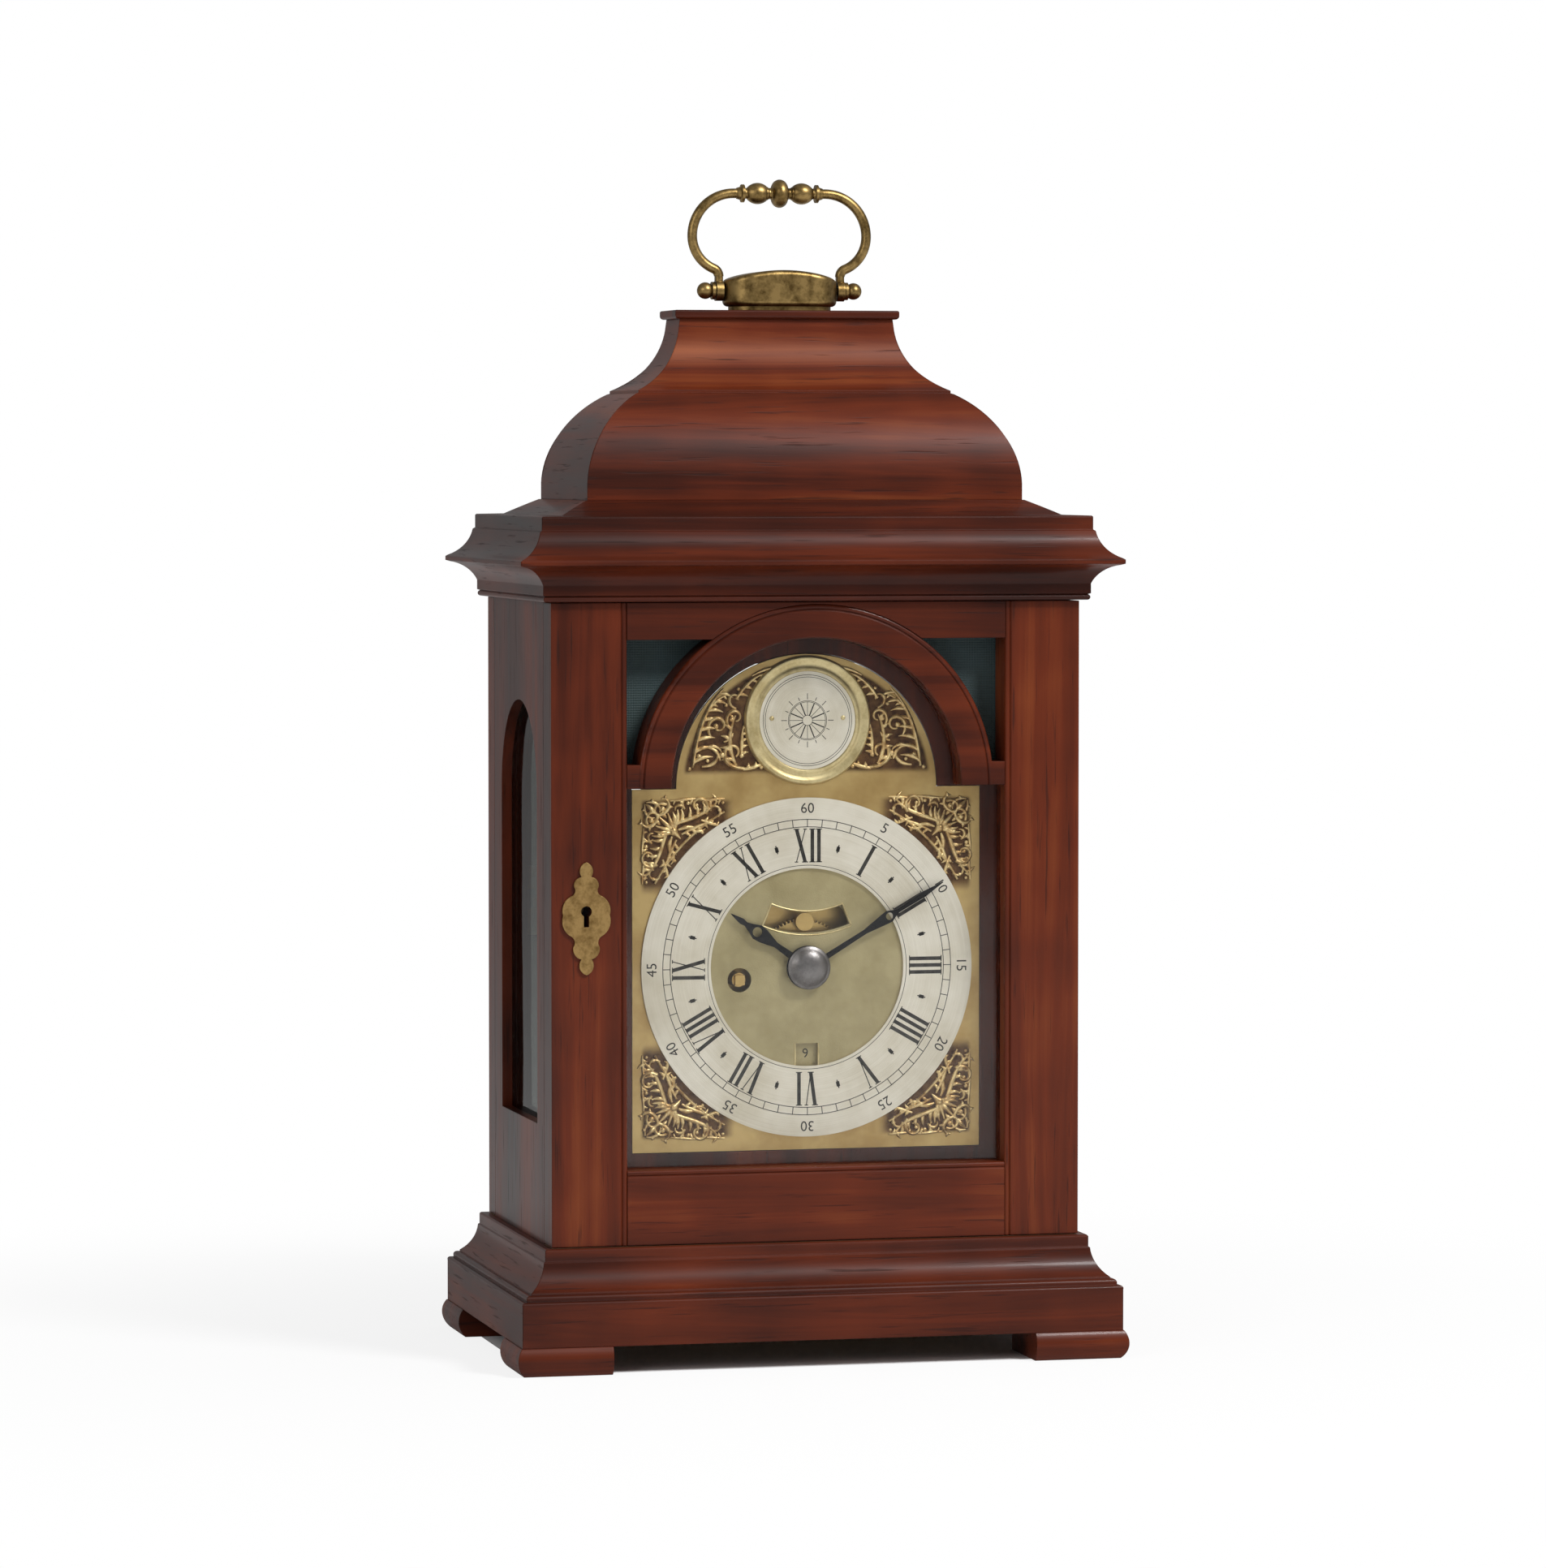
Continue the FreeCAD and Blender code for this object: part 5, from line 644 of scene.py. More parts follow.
def finished(name, bm, finish, body, replaces=(), smooth=40):
    """Makes a piece of the bmesh. Edges sharper than smooth, in degrees, stay sharp."""
    bmesh.ops.remove_doubles(bm, verts=bm.verts, dist=WELD)
    bmesh.ops.recalc_face_normals(bm, faces=bm.faces)
    mesh = bpy.data.meshes.new(name)
    bm.to_mesh(mesh)
    bm.free()
    mesh.materials.append(finish)
    mesh.shade_smooth()
    mesh.set_sharp_from_angle(angle=math.radians(smooth))
    piece = added(name, mesh)
    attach(piece, body)
    if replaces:
        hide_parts(*replaces)
    print(name, len(mesh.polygons), "faces")
    return piece


def placed(x, y, z, turn=0.0):
    """Matrix that carries a drawing in X and Z to a place, turned clockwise as seen from the front."""
    return Matrix.Translation((x, y, z)) @ Matrix.Rotation(turn, 4, "Y")


# %% [markdown]
# ## Roman hours
#
# The hours are engraved with thick and thin strokes and small feet, and stand with their feet towards the
# centre, so that six hangs upside down. A font would give them the wrong weight. Each stroke here is a
# thin bar, and a figure is a row of letters: a thick stroke leans one way and a thin one the other.

# %% Engrave the hours
FIGURE_HIGH = 14.0 * MM
THICK = 1.55 * MM
THIN = 0.42 * MM
WAX_DEEP = 0.05 * MM
FOOT_REACH = 0.55 * MM
HOUR_MIDDLE = 52.0 * MM


def stroke(bm, start, end, width, matrix):
    """A flat bar from start to end, both (across, up)."""
    a, b = Vector((start[0], 0, start[1])), Vector((end[0], 0, end[1]))
    run = b - a
    tilt = math.atan2(run.x, run.z)
    size = Matrix.Diagonal((width, WAX_DEEP, run.length, 1))
    place = matrix @ Matrix.Translation((a + b) / 2) @ Matrix.Rotation(tilt, 4, "Y") @ size
    bmesh.ops.create_cube(bm, size=1, matrix=place)


# A letter's width, then its strokes: across at the top and at the foot, both in mm, and how thick.
LETTERS = {
    "I": (2.9, [(0, 0, THICK)]),
    "V": (7.4, [(-1.9, 0, THICK), (1.9, 0, THIN)]),
    "X": (7.2, [(-1.9, 1.9, THICK), (1.9, -1.9, THIN)]),
}


def letter(bm, name, across, matrix):
    high = FIGURE_HIGH / 2
    feet = set()
    for top, bottom, width in LETTERS[name][1]:
        start = (across + top * MM, high)
        end = (across + bottom * MM, -high)
        stroke(bm, start, end, width, matrix)
        feet.add((start[0], high, width))
        feet.add((end[0], -high, width))
    for x, z, width in feet:
        reach = width / 2 + FOOT_REACH
        stroke(bm, (x - reach, z), (x + reach, z), THIN, matrix)


HOURS = ["XII", "I", "II", "III", "IIII", "V", "VI", "VII", "VIII", "IX", "X", "XI"]
bm = bmesh.new()
for hour, figure in enumerate(HOURS):
    matrix = placed(DIAL.x, RING_FACE, DIAL.z, math.radians(30 * hour))
    matrix = matrix @ Matrix.Translation((0, 0, HOUR_MIDDLE))
    widths = [LETTERS[name][0] for name in figure]
    at = -sum(widths) / 2
    for name, width in zip(figure, widths):
        letter(bm, name, (at + width / 2) * MM, matrix)
        at += width
finished("hour_figures", bm, wax, "case")

# %% [markdown]
# ## Minute track and half-hour marks
#
# Outside the hours run two fine circles with a line for every minute, and between two hours stands a small
# lozenge. The circles are thin rings that spin a small rectangle once round. The lines are the same flat
# bars as the hours' strokes, and a lozenge is a short thick bar over a longer thin one.

# %% Turn rings and draw bars
def turned(bm, centre, face, profile, steps=96):
    """Spins a closed profile of (radius, height over the face) once round an axis along Y."""
    verts = []
    for radius, high in profile:
        made = bmesh.ops.create_vert(bm, co=(centre.x + radius, face - high, centre.z))
        verts.append(made["vert"][0])
    edges = [bm.edges.new(pair) for pair in zip(verts, verts[1:] + verts[:1])]
    bmesh.ops.spin(
        bm, geom=verts + edges, cent=(centre.x, face, centre.z), axis=(0, 1, 0),
        angle=2 * math.pi, steps=steps, use_merge=True,
    )


def thin_ring(bm, centre, face, radius, width, steps=120):
    """A flat engraved circle, half sunk into the face."""
    near, far, high = radius - width / 2, radius + width / 2, WAX_DEEP / 2
    turned(bm, centre, face, [(near, -high), (far, -high), (far, high), (near, high)], steps)


def radial(bm, centre, face, degrees, near, far, width):
    """A flat bar that points away from a centre."""
    matrix = placed(centre.x, face, centre.z, math.radians(degrees))
    stroke(bm, (0, near), (0, far), width, matrix)


TRACK_IN, TRACK_OUT = 60.0 * MM, 63.2 * MM
HOUR_LINE = 43.6 * MM
LOZENGE = ((1.1 * MM, 1.5 * MM), (1.8 * MM, 0.5 * MM))
bm = bmesh.new()
for radius in (TRACK_IN, TRACK_OUT):
    thin_ring(bm, DIAL, RING_FACE, radius, 0.32 * MM)
thin_ring(bm, DIAL, RING_FACE, HOUR_LINE, 0.25 * MM)
for minute in range(60):
    radial(bm, DIAL, RING_FACE, 6 * minute, TRACK_IN, TRACK_OUT, 0.34 * MM)
for mark in range(12):
    for reach, width in LOZENGE:
        near, far = HOUR_MIDDLE - reach, HOUR_MIDDLE + reach
        radial(bm, DIAL, RING_FACE, 30 * mark + 15, near, far, width)
finished("minute_track", bm, wax, "case")

# %% [markdown]
# ## Minutes and days in figures
#
# Beyond the track stand the minutes, five by five. Behind the dial turns the date ring, with 31 days, and
# one of them shows in the window. These are plain numbers in an even hand, so text objects do. They become
# a mesh before they are turned to their place.

# %% Engrave the minutes and the days
def figures(bm, text, size, matrix):
    """Text as a thin mesh, added to a bmesh."""
    curve = bpy.data.curves.new("figures", "FONT")
    curve.body = text
    curve.size = size
    curve.align_x = "CENTER"
    curve.align_y = "CENTER"
    curve.extrude = WAX_DEEP / 2
    curve.resolution_u = 3
    holder = bpy.data.objects.new("figures", curve)
    mesh = bpy.data.meshes.new_from_object(holder)
    stand = Matrix.Rotation(math.pi / 2, 4, "X")
    mesh.transform(matrix @ stand)
    bm.from_mesh(mesh)
    bpy.data.objects.remove(holder)
    bpy.data.curves.remove(curve)
    bpy.data.meshes.remove(mesh)


MINUTE_MIDDLE = Matrix.Translation((0, 0, 67.8 * MM))
bm = bmesh.new()
for minute in range(5, 61, 5):
    matrix = placed(DIAL.x, RING_FACE, DIAL.z, math.radians(6 * minute))
    figures(bm, str(minute), 6.2 * MM, matrix @ MINUTE_MIDDLE)
finished("minute_figures", bm, wax, "case")

DATE_X = -4.0 * MM
DATE_MIDDLE = Matrix.Translation((0, 0, 37.4 * MM)) @ Matrix.Rotation(math.pi, 4, "Y")
DAY_SHOWN = 9
WINDOW_TURN = 180 - 6.1
date_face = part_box("date_ring")[0].y
bm = bmesh.new()
for day in range(1, 32):
    turn = math.radians(WINDOW_TURN + 360 / 31 * (day - DAY_SHOWN))
    figures(bm, str(day), 5.6 * MM, placed(DATE_X, date_face, DIAL.z, turn) @ DATE_MIDDLE)
finished("date_figures", bm, wax, "date_ring")

# %% [markdown]
# ## Scrollwork
#
# The mounts in the corners are cast scrolls of leaves, gilded, over a dark ground. A scroll is a line that
# curls ever tighter. `curl` walks along it, turns a little at each step and says where it has come to. A
# wire and the leaves on it both follow that walk.

# %% Walk along a curl
def curl(start, heading, length, turns, steps):
    """Yields the share done, x, z and the heading. turns are the degrees at the start and at the end."""
    x, z = start
    first, last = turns
    step = length / steps
    for n in range(steps + 1):
        share = n / steps
        yield share, x, z, heading
        x += math.cos(math.radians(heading)) * step
        z += math.sin(math.radians(heading)) * step
        heading += (first + (last - first) * share) / steps


*_, tip = curl((0, 0), 0, 1, (90, 90), 20)
print("a quarter turn 1 long ends at", round(tip[1], 2), round(tip[2], 2))

# %% [markdown]
# ### A wire that tapers
#
# The wire is made as a maker would draw it. A small round is pushed along the curl, and at each step it is
# turned to the new heading and gets its new width. It swells to its thickest and then tapers off. The
# round's edges are extruded with its face, or the old face would stay behind inside the wire.

# %% Draw the wire
WIRE_SIDES = 7
STEP_LONG = 0.55 * MM
FEWEST_STEPS, MOST_STEPS = 5, 26
THICKEST = 0.45


def width_at(share, widths):
    """The width on the way from the first of three widths to the second, and on to the third."""
    first, middle, last = widths
    if share < THICKEST:
        return first + (middle - first) * share / THICKEST
    return middle + (last - middle) * (share - THICKEST) / (1 - THICKEST)


def scroll(bm, start, heading, length, turns, widths, face, rise=1.2, steps=None):
    """A wire half sunk into the face. rise is its height as a share of its width."""
    steps = min(steps or max(FEWEST_STEPS, int(length / STEP_LONG)), MOST_STEPS)
    made = bmesh.ops.create_circle(bm, cap_ends=True, segments=WIRE_SIDES, radius=0.5)
    cap = made["verts"][0].link_faces[0]
    before = Matrix.Identity(4)
    for share, x, z, degrees in curl(start, heading, length, turns, steps):
        width, angle = width_at(share, widths), math.radians(degrees)
        across = Vector((-math.sin(angle), 0, math.cos(angle))) * width
        high = Vector((0, -rise * width, 0))
        along = Vector((math.cos(angle), 0, math.sin(angle)))
        now = Matrix((across, high, along)).transposed().to_4x4()
        now.translation = Vector((x, face, z))
        if share:
            grown = bmesh.ops.extrude_face_region(bm, geom=[cap, *cap.edges])
            cap = next(part for part in grown["geom"] if isinstance(part, bmesh.types.BMFace))
        bmesh.ops.transform(bm, matrix=now @ before.inverted(), verts=cap.verts)
        before = now


print("a wire has", WIRE_SIDES, "sides and up to", MOST_STEPS, "steps")

# %% [markdown]
# ### Leaves and beads
#
# Small leaves spring from the outer side of a scroll. Each is a short, fat wire that curls away, and they
# get smaller towards the end. Beads fill the gaps, as round grains do on a casting.

# %% Add leaves and beads
LEAF_STEPS = 40
LEAF_AWAY = 38
LEAF_TURNS = (75, 20)


def bead(bm, x, z, radius, face):
    """A half-sunk bead."""
    matrix = Matrix.Translation((x, face, z)) @ Matrix.Diagonal((1, 0.9, 1, 1))
    bmesh.ops.create_icosphere(bm, subdivisions=2, radius=radius, matrix=matrix)


def leafy(bm, start, heading, length, turns, widths, face, leaves, side):
    """A scroll with leaves on one side: 1 is the left as it goes, -1 the right."""
    scroll(bm, start, heading, length, turns, widths, face)
    apart = LEAF_STEPS // leaves
    bends = [side * turn for turn in LEAF_TURNS]
    for n, (share, x, z, degrees) in enumerate(curl(start, heading, length, turns, LEAF_STEPS)):
        if n % apart == apart // 2:
            leaf = length * (0.26 - 0.10 * share)
            wide = widths[1] * (1.0 - 0.3 * share)
            fat = (wide * 0.5, wide, wide * 0.15)
            scroll(bm, (x, z), degrees + side * LEAF_AWAY, leaf, bends, fat, face, steps=6)


def draw(bm, rows, beads, face):
    """Draws every row as a scroll, with leaves where it has some, and then the beads."""
    for x, z, heading, length, first, last, w0, w1, w2, *leaves in rows:
        widths = (w0 * MM, w1 * MM, w2 * MM)
        line = ((x * MM, z * MM), heading, length * MM, (first, last), widths, face)
        if leaves:
            leafy(bm, *line, *leaves)
        else:
            scroll(bm, *line)
    for x, z, radius in beads:
        bead(bm, x * MM, z * MM, radius * MM, face)


def copied(bm):
    """Doubles all that is in the bmesh and returns the copy's vertices."""
    made = bmesh.ops.duplicate(bm, geom=bm.verts[:] + bm.edges[:] + bm.faces[:])
    return [part for part in made["geom"] if isinstance(part, bmesh.types.BMVert)]


print("leaves start", LEAF_AWAY, "degrees off their scroll")

# %% [markdown]
# ### The four corners
#
# In the drawing below, the dial's corner is at the origin and the mount lies down and to the left. Only
# one half is drawn. It is mirrored over the diagonal, and the corner is then mirrored to the others.

# %% Corner mounts
MOUNT_FACE = DIAL_FACE - 0.35 * MM

# Each row: start x and z, heading, length, turning at the start and at the end, three widths, and for a
# leafy scroll the number of leaves and their side. Lengths are in millimetres and angles in degrees.
CORNER_HALF = [
    (-13.2, -13.4, 150, 24, 60, -120, 1.3, 2.2, 1.0, 6, -1),
    (-29.0, -7.8, 120, 17, -170, -520, 1.9, 1.6, 0.8),
    (-27.0, -10.4, 195, 11, 30, -80, 1.0, 1.6, 0.4, 4, -1),
    (-34.5, -9.0, 130, 9, -160, -330, 1.3, 1.2, 0.6),
    (-8.2, -8.4, 165, 12, -60, -330, 1.1, 2.0, 0.7, 3, 1),
    (-12.0, -3.6, 20, 13, -130, -560, 1.5, 1.5, 0.7),
    (-3.2, -2.6, 170, 9, 60, 200, 0.7, 1.6, 0.5),
    (-15.5, -13.0, 118, 7.5, -30, -60, 0.9, 2.2, 0.5),
    (-17.2, -14.4, 158, 8, 25, 60, 0.9, 2.1, 0.5),
    (-20.0, -5.6, 60, 6.5, -120, -260, 1.0, 1.6, 0.5),
    (-23.5, -14.6, 200, 6, -40, -120, 0.8, 1.5, 0.4),
    (-19.7, -20.1, 135, 22.0, 17, 17, 1.3, 1.4, 1.0),
    (-18.6, -16.4, 150, 15.0, 20, 10, 0.8, 1.7, 0.5, 5, 1),
    (-37.4, -1.4, 0, 11, -20, 30, 0.6, 1.5, 0.5, 3, -1),
    (-25.5, -1.3, 0, 12, -20, 20, 0.6, 1.5, 0.5, 3, -1),
    (-16.8, -1.6, 200, 6, 90, 200, 0.7, 1.4, 0.5),
]
CORNER_BEADS = [
    (-29.6, -5.1, 1.25), (-10.3, -5.4, 1.2), (-21.4, -3.1, 0.9), (-35.2, -6.2, 0.9), (-16.6, -8.6, 1.0),
    (-25.2, -4.0, 0.8), (-5.8, -2.0, 0.8), (-36.6, -3.2, 0.7), (-33.0, -12.2, 0.8), (-27.6, -15.6, 0.8),
]
# The fan opens from the middle of the corner. Each leaf has a turn from the diagonal and a length.
FAN = [(-52, 7.0), (-26, 8.6), (0, 9.6), (26, 8.6), (52, 7.0)]


def corner_mount():
    """One whole corner, in a new bmesh."""
    bm = bmesh.new()
    draw(bm, CORNER_HALF, CORNER_BEADS, 0.0)
    swap = Matrix(((0, 0, 1, 0), (0, 1, 0, 0), (1, 0, 0, 0), (0, 0, 0, 1)))
    bmesh.ops.transform(bm, matrix=swap, verts=copied(bm))
    fan = [(-15.4, -15.4, 45 + turn, reach, 0, 0, 0.8, 2.2, 0.5) for turn, reach in FAN]
    heart = [
        (-13.6, -13.6, 225, 6.5, 0, 0, 1.6, 2.6, 0.4),
        (-7.4, -7.4, 45, 6, 0, 0, 0.8, 2.4, 0.5),
    ]
    draw(bm, fan + heart, [(-15.0, -15.0, 1.9)], 0.0)
    return bm


CORNER_X = 73.4 * MM
CORNER_Z = 73.8 * MM
bm = corner_mount()
bmesh.ops.translate(bm, vec=(CORNER_X, MOUNT_FACE, CORNER_Z), verts=bm.verts)
for axis in (0, 2):
    flip = [1, 1, 1]
    flip[axis] = -1
    bmesh.ops.scale(bm, vec=flip, verts=copied(bm))
bmesh.ops.translate(bm, vec=(DIAL.x, 0, DIAL.z), verts=bm.verts)
finished("corner_mounts", bm, gilt, "case", smooth=60)

# %% [markdown]
# ### The arch
#
# Beside the boss the same scrolls rise along the arch. The rows read as those of the corners do, from the
# middle of the arch's foot. The right half is drawn and mirrored to the left.

# %% Arch mounts
ARCH_HALF = [
    (50.0, 4.0, 97, 37, 12, 74, 1.2, 2.4, 0.8, 8, 1),
    (27.5, 3.6, 4, 24, 60, 640, 1.5, 2.2, 1.0),
    (31.0, 5.0, 60, 22, 70, 40, 1.4, 2.3, 0.6, 5, -1),
    (42.0, 17.0, 60, 20, 140, 560, 1.0, 2.0, 0.8),
    (34.0, 21.0, 60, 16, 120, 520, 1.0, 1.8, 0.7),
    (31.0, 33.0, 120, 17, 30, 60, 1.3, 1.9, 0.4, 4, 1),
    (31.0, 29.0, 20, 12, 120, 460, 1.0, 1.6, 0.6),
    (28.0, 3.2, 172, 11, -10, -60, 1.4, 2.0, 0.5, 3, -1),
    (46.0, 4.5, 178, 12, -40, -260, 0.9, 1.8, 0.6),
    (38.0, 7.0, 80, 9, -60, -140, 0.8, 1.7, 0.4),
    (45.0, 12.0, 150, 9, 60, 160, 0.8, 1.7, 0.4),
    (36.5, 15.0, 170, 6, -60, -100, 0.8, 1.6, 0.4),
    (29.0, 8.0, 100, 14, -40, 60, 0.8, 1.8, 0.5, 5, 1),
    (44.0, 27.0, 120, 12, 30, 60, 0.7, 1.6, 0.5, 4, 1),
    (24.0, 43.0, 150, 14, 30, 30, 0.8, 1.6, 0.4),
]
ARCH_BEADS = [
    (37.2, 9.4, 1.4), (39.8, 21.6, 1.2), (33.0, 24.4, 1.1), (47.2, 9.0, 1.0), (28.6, 9.0, 1.0),
    (35.4, 30.6, 0.9), (43.5, 7.0, 0.8), (30.0, 37.4, 0.8), (20.0, 4.0, 0.9), (51.4, 3.6, 0.9),
    (41.0, 13.2, 0.9), (33.2, 13.0, 0.9),
]
ARCH_HIGH = 52.0 * MM
bm = bmesh.new()
draw(bm, ARCH_HALF, ARCH_BEADS, MOUNT_FACE)
bmesh.ops.scale(bm, vec=(-1, 1, 1), verts=copied(bm))
bmesh.ops.translate(bm, vec=(DIAL.x, 0, plate_high.z - ARCH_HIGH), verts=bm.verts)
finished("arch_mounts", bm, gilt, "case", smooth=60)

# %% [markdown]
# ### The ring in the arch
#
# The ring round the boss is turned on a lathe, so a moulded profile is spun once round its centre. Each
# point is a radius and a height over the dial, in millimetres.

# %% Turn the boss ring
BOSS_PROFILE = [
    (20.98, 0.0), (20.98, 1.3), (21.4, 1.7), (22.2, 1.75), (22.8, 1.35), (23.3, 1.1), (24.2, 1.2),
    (25.2, 1.65), (26.0, 1.95), (26.8, 1.9), (27.3, 1.4), (27.7, 0.6), (27.7, 0.0),
]
bm = bmesh.new()
turned(bm, BOSS, DIAL_FACE, [(r * MM, h * MM) for r, h in BOSS_PROFILE])
finished("boss_ring", bm, ring_brass, "case", ["spandrels_and_boss_ring"])

# %% [markdown]
# ## The disc in the boss
#
# The disc is silvered like the chapter ring. It is engraved with a border of two circles and a plain
# rosette, because an empty disc would look unfinished. Two small turned pins hold it, left and right.

# %% Engrave the boss disc and pin it
PETAL_IN, PETAL_OUT = 2.2 * MM, 7.9 * MM
RAY_IN, RAY_OUT = 9.0 * MM, 11.5 * MM
PIN_OUT, PIN_UP = 15.6 * MM, 1.0 * MM
PIN_PROFILE = [(0.0, 0.0), (1.0, 0.0), (0.95, 0.35), (0.6, 0.62), (0.0, 0.7)]

bm = bmesh.new()
for radius in (19.4, 18.5, 8.4, 7.9, 2.2):
    thin_ring(bm, BOSS, DISC_FACE, radius * MM, 0.22 * MM, 72)
for ray in range(16):
    odd = ray % 2
    radial(bm, BOSS, DISC_FACE, ray * 22.5, PETAL_IN, PETAL_OUT, (0.5 if odd else 0.22) * MM)
    radial(bm, BOSS, DISC_FACE, ray * 22.5, RAY_IN, RAY_OUT - odd * MM, 0.3 * MM)
finished("boss_engraving", bm, wax, "case")

bm = bmesh.new()
for side in (-1, 1):
    pin_at = Vector((BOSS.x + side * PIN_OUT, 0, BOSS.z + PIN_UP))
    turned(bm, pin_at, DISC_FACE, [(r * MM, h * MM) for r, h in PIN_PROFILE], 20)
finished("boss_pins", bm, ring_brass, "case")

# %% [markdown]
# ## The collet on the hands
#
# A domed steel collet presses the hands to their pipe. It is turned from one profile and goes round with
# the minute hand.

# %% Turn the collet
HAND_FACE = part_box("minute_hand")[0].y
COLLET_PROFILE = [
    (0.0, 0.0), (9.2, 0.0), (9.3, 0.25), (9.0, 0.55), (8.3, 0.7), (7.9, 0.95), (7.0, 1.7), (5.6, 2.45),
    (3.6, 3.0), (1.8, 3.2), (0.0, 3.25),
]
bm = bmesh.new()
turned(bm, DIAL, HAND_FACE, [(r * MM, h * MM) for r, h in COLLET_PROFILE], 64)
finished("hand_collet", bm, hand_steel, "minute_hand_work")

# %% [markdown]
# ## The rims of the openings
#
# Through the curved slot under the twelve a bob shows that swings with the pendulum. The slot's edge is a
# thin raised rim. It is the same wire as the scrolls, but with one width: two arcs about the verge, and two
# straight ends. The date window gets two short upright rims.

# %% Edge the slot and the date window
VERGE_Z = 232 * MM
SLOT_RADIUS = 45.5 * MM
SLOT_HALF = 5.1 * MM
SLOT_TURN = 22.6
SLOT_RIM = (0.7 * MM, 0.7 * MM, 0.7 * MM)
DATE_Z = 130.0 * MM
DATE_HALF = (5.1 * MM, 4.6 * MM)
DATE_RIM = (0.5 * MM, 0.9 * MM, 0.5 * MM)


def on_slot(radius, turn):
    """A place on the slot's edge, turned from straight below the verge."""
    angle = math.radians(-90 + turn)
    return radius * math.cos(angle), VERGE_Z + radius * math.sin(angle)


inner, outer = SLOT_RADIUS - SLOT_HALF, SLOT_RADIUS + SLOT_HALF
bend = (2 * SLOT_TURN, 2 * SLOT_TURN)
bm = bmesh.new()
for radius in (inner, outer):
    start, length = on_slot(radius, -SLOT_TURN), radius * math.radians(2 * SLOT_TURN)
    scroll(bm, start, -SLOT_TURN, length, bend, SLOT_RIM, DIAL_FACE, 0.96, 24)
for turn in (-SLOT_TURN, SLOT_TURN):
    start = on_slot(outer, turn)
    scroll(bm, start, 90 + turn, 2 * SLOT_HALF, (0, 0), SLOT_RIM, DIAL_FACE, 0.96, 6)
for side in (-1, 1):
    start = (DIAL.x + side * DATE_HALF[0], DATE_Z - DATE_HALF[1])
    scroll(bm, start, 90, 2 * DATE_HALF[1], (0, 0), DATE_RIM, DIAL_FACE, 0.8, 6)
finished("dial_rims", bm, ring_brass, "case")

# %% [markdown]
# ## Behind the lock's notch
#
# The mask has a notch for the lock that the door carries. A small board is glued behind it, or daylight
# would show beside the dial. It is a plain block with its edges taken off.

# %% Close the lock's notch
NOTCH_X, NOTCH_Z = -90.5 * MM, 191.0 * MM
BACKING = (24.4 * MM, 1.6 * MM, 42 * MM)
mask_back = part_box("dial_mask")[1].y
place = Matrix.Translation((NOTCH_X, mask_back + BACKING[1] / 2, NOTCH_Z))
bm = bmesh.new()
bmesh.ops.create_cube(bm, size=1, matrix=place @ Matrix.Diagonal((*BACKING, 1)))
bmesh.ops.bevel(
    bm, geom=bm.edges[:], offset=0.5 * MM, segments=2, profile=0.5, affect="EDGES", material=-1,
)
finished("lock_notch_backing", bm, side_board, "case")

# %% [markdown]
# ## The back plate
#
# The movement's back plate can be seen through the back door, so it was a place to show off. It is engraved
# with a border and leafy scrolls. These are the same scrolls as on the mounts, pressed nearly flat, with
# each place measured in millimetres from the clock's middle and the floor.

# %% Engrave the back plate
PRESSED = 0.12
BORDER = ((3.0 * MM, 0.5 * MM), (4.4 * MM, 0.25 * MM))
PLATE_BEADS = [(46, 124, 0.9), (30, 172, 0.9), (44, 206, 0.9)]
PLATE_HALF = [
    (2, 109, 5, 58, 40, 190, 0.35, 0.8, 0.3, 9, 1),
    (3, 150, 40, 60, -60, -330, 0.35, 0.8, 0.3, 9, -1),
    (3, 186, 62, 56, -60, -330, 0.35, 0.8, 0.3, 9, -1),
    (50, 236, 215, 34, -40, 260, 0.35, 0.7, 0.3, 6, 1),
    (50, 150, 95, 40, 30, 240, 0.35, 0.7, 0.3, 7, 1),
]
movement_low, movement_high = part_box("movement_plates")
BACK_FACE = movement_high.y
bm = bmesh.new()
draw(bm, PLATE_HALF, PLATE_BEADS, BACK_FACE)
to_face = Matrix.Translation((0, -BACK_FACE, 0))
bmesh.ops.scale(bm, vec=(1, PRESSED, 1), space=to_face, verts=bm.verts)
bmesh.ops.scale(bm, vec=(-1, 1, 1), verts=copied(bm))
for inset, width in BORDER:
    x = movement_high.x - inset
    low, high = movement_low.z + inset, movement_high.z - inset
    corners = [(-x, low), (x, low), (x, high), (-x, high)]
    for start, end in zip(corners, corners[1:] + corners[:1]):
        stroke(bm, start, end, width, placed(0, BACK_FACE, 0))
finished("back_plate_engraving", bm, wax, "case")

# %% [markdown]
# ## Silk in the door's corners
#
# Above the arched band the door is open at both corners, so that the bell can be heard, and silk is
# stretched over each opening from behind. A panel is cut from flat cloth: a quarter of an arc below, and
# straight edges at the side and the top, with a little to spare for the glue. It is made by pushing the
# arc's edges out to the straight ones, and then it gets the cloth's thickness.

# %% Cut and stretch the silk
ARCH_MIDDLE = 245.3 * MM
SILK_ARC = 74.5 * MM
SILK_FROM, SILK_TO = math.radians(5.0), math.radians(61.7)
SILK_SIDE = 85.4 * MM
SILK_TOP = 311.0 * MM
SILK_FRONT = -52.98 * MM
SILK_THICK = 0.3 * MM


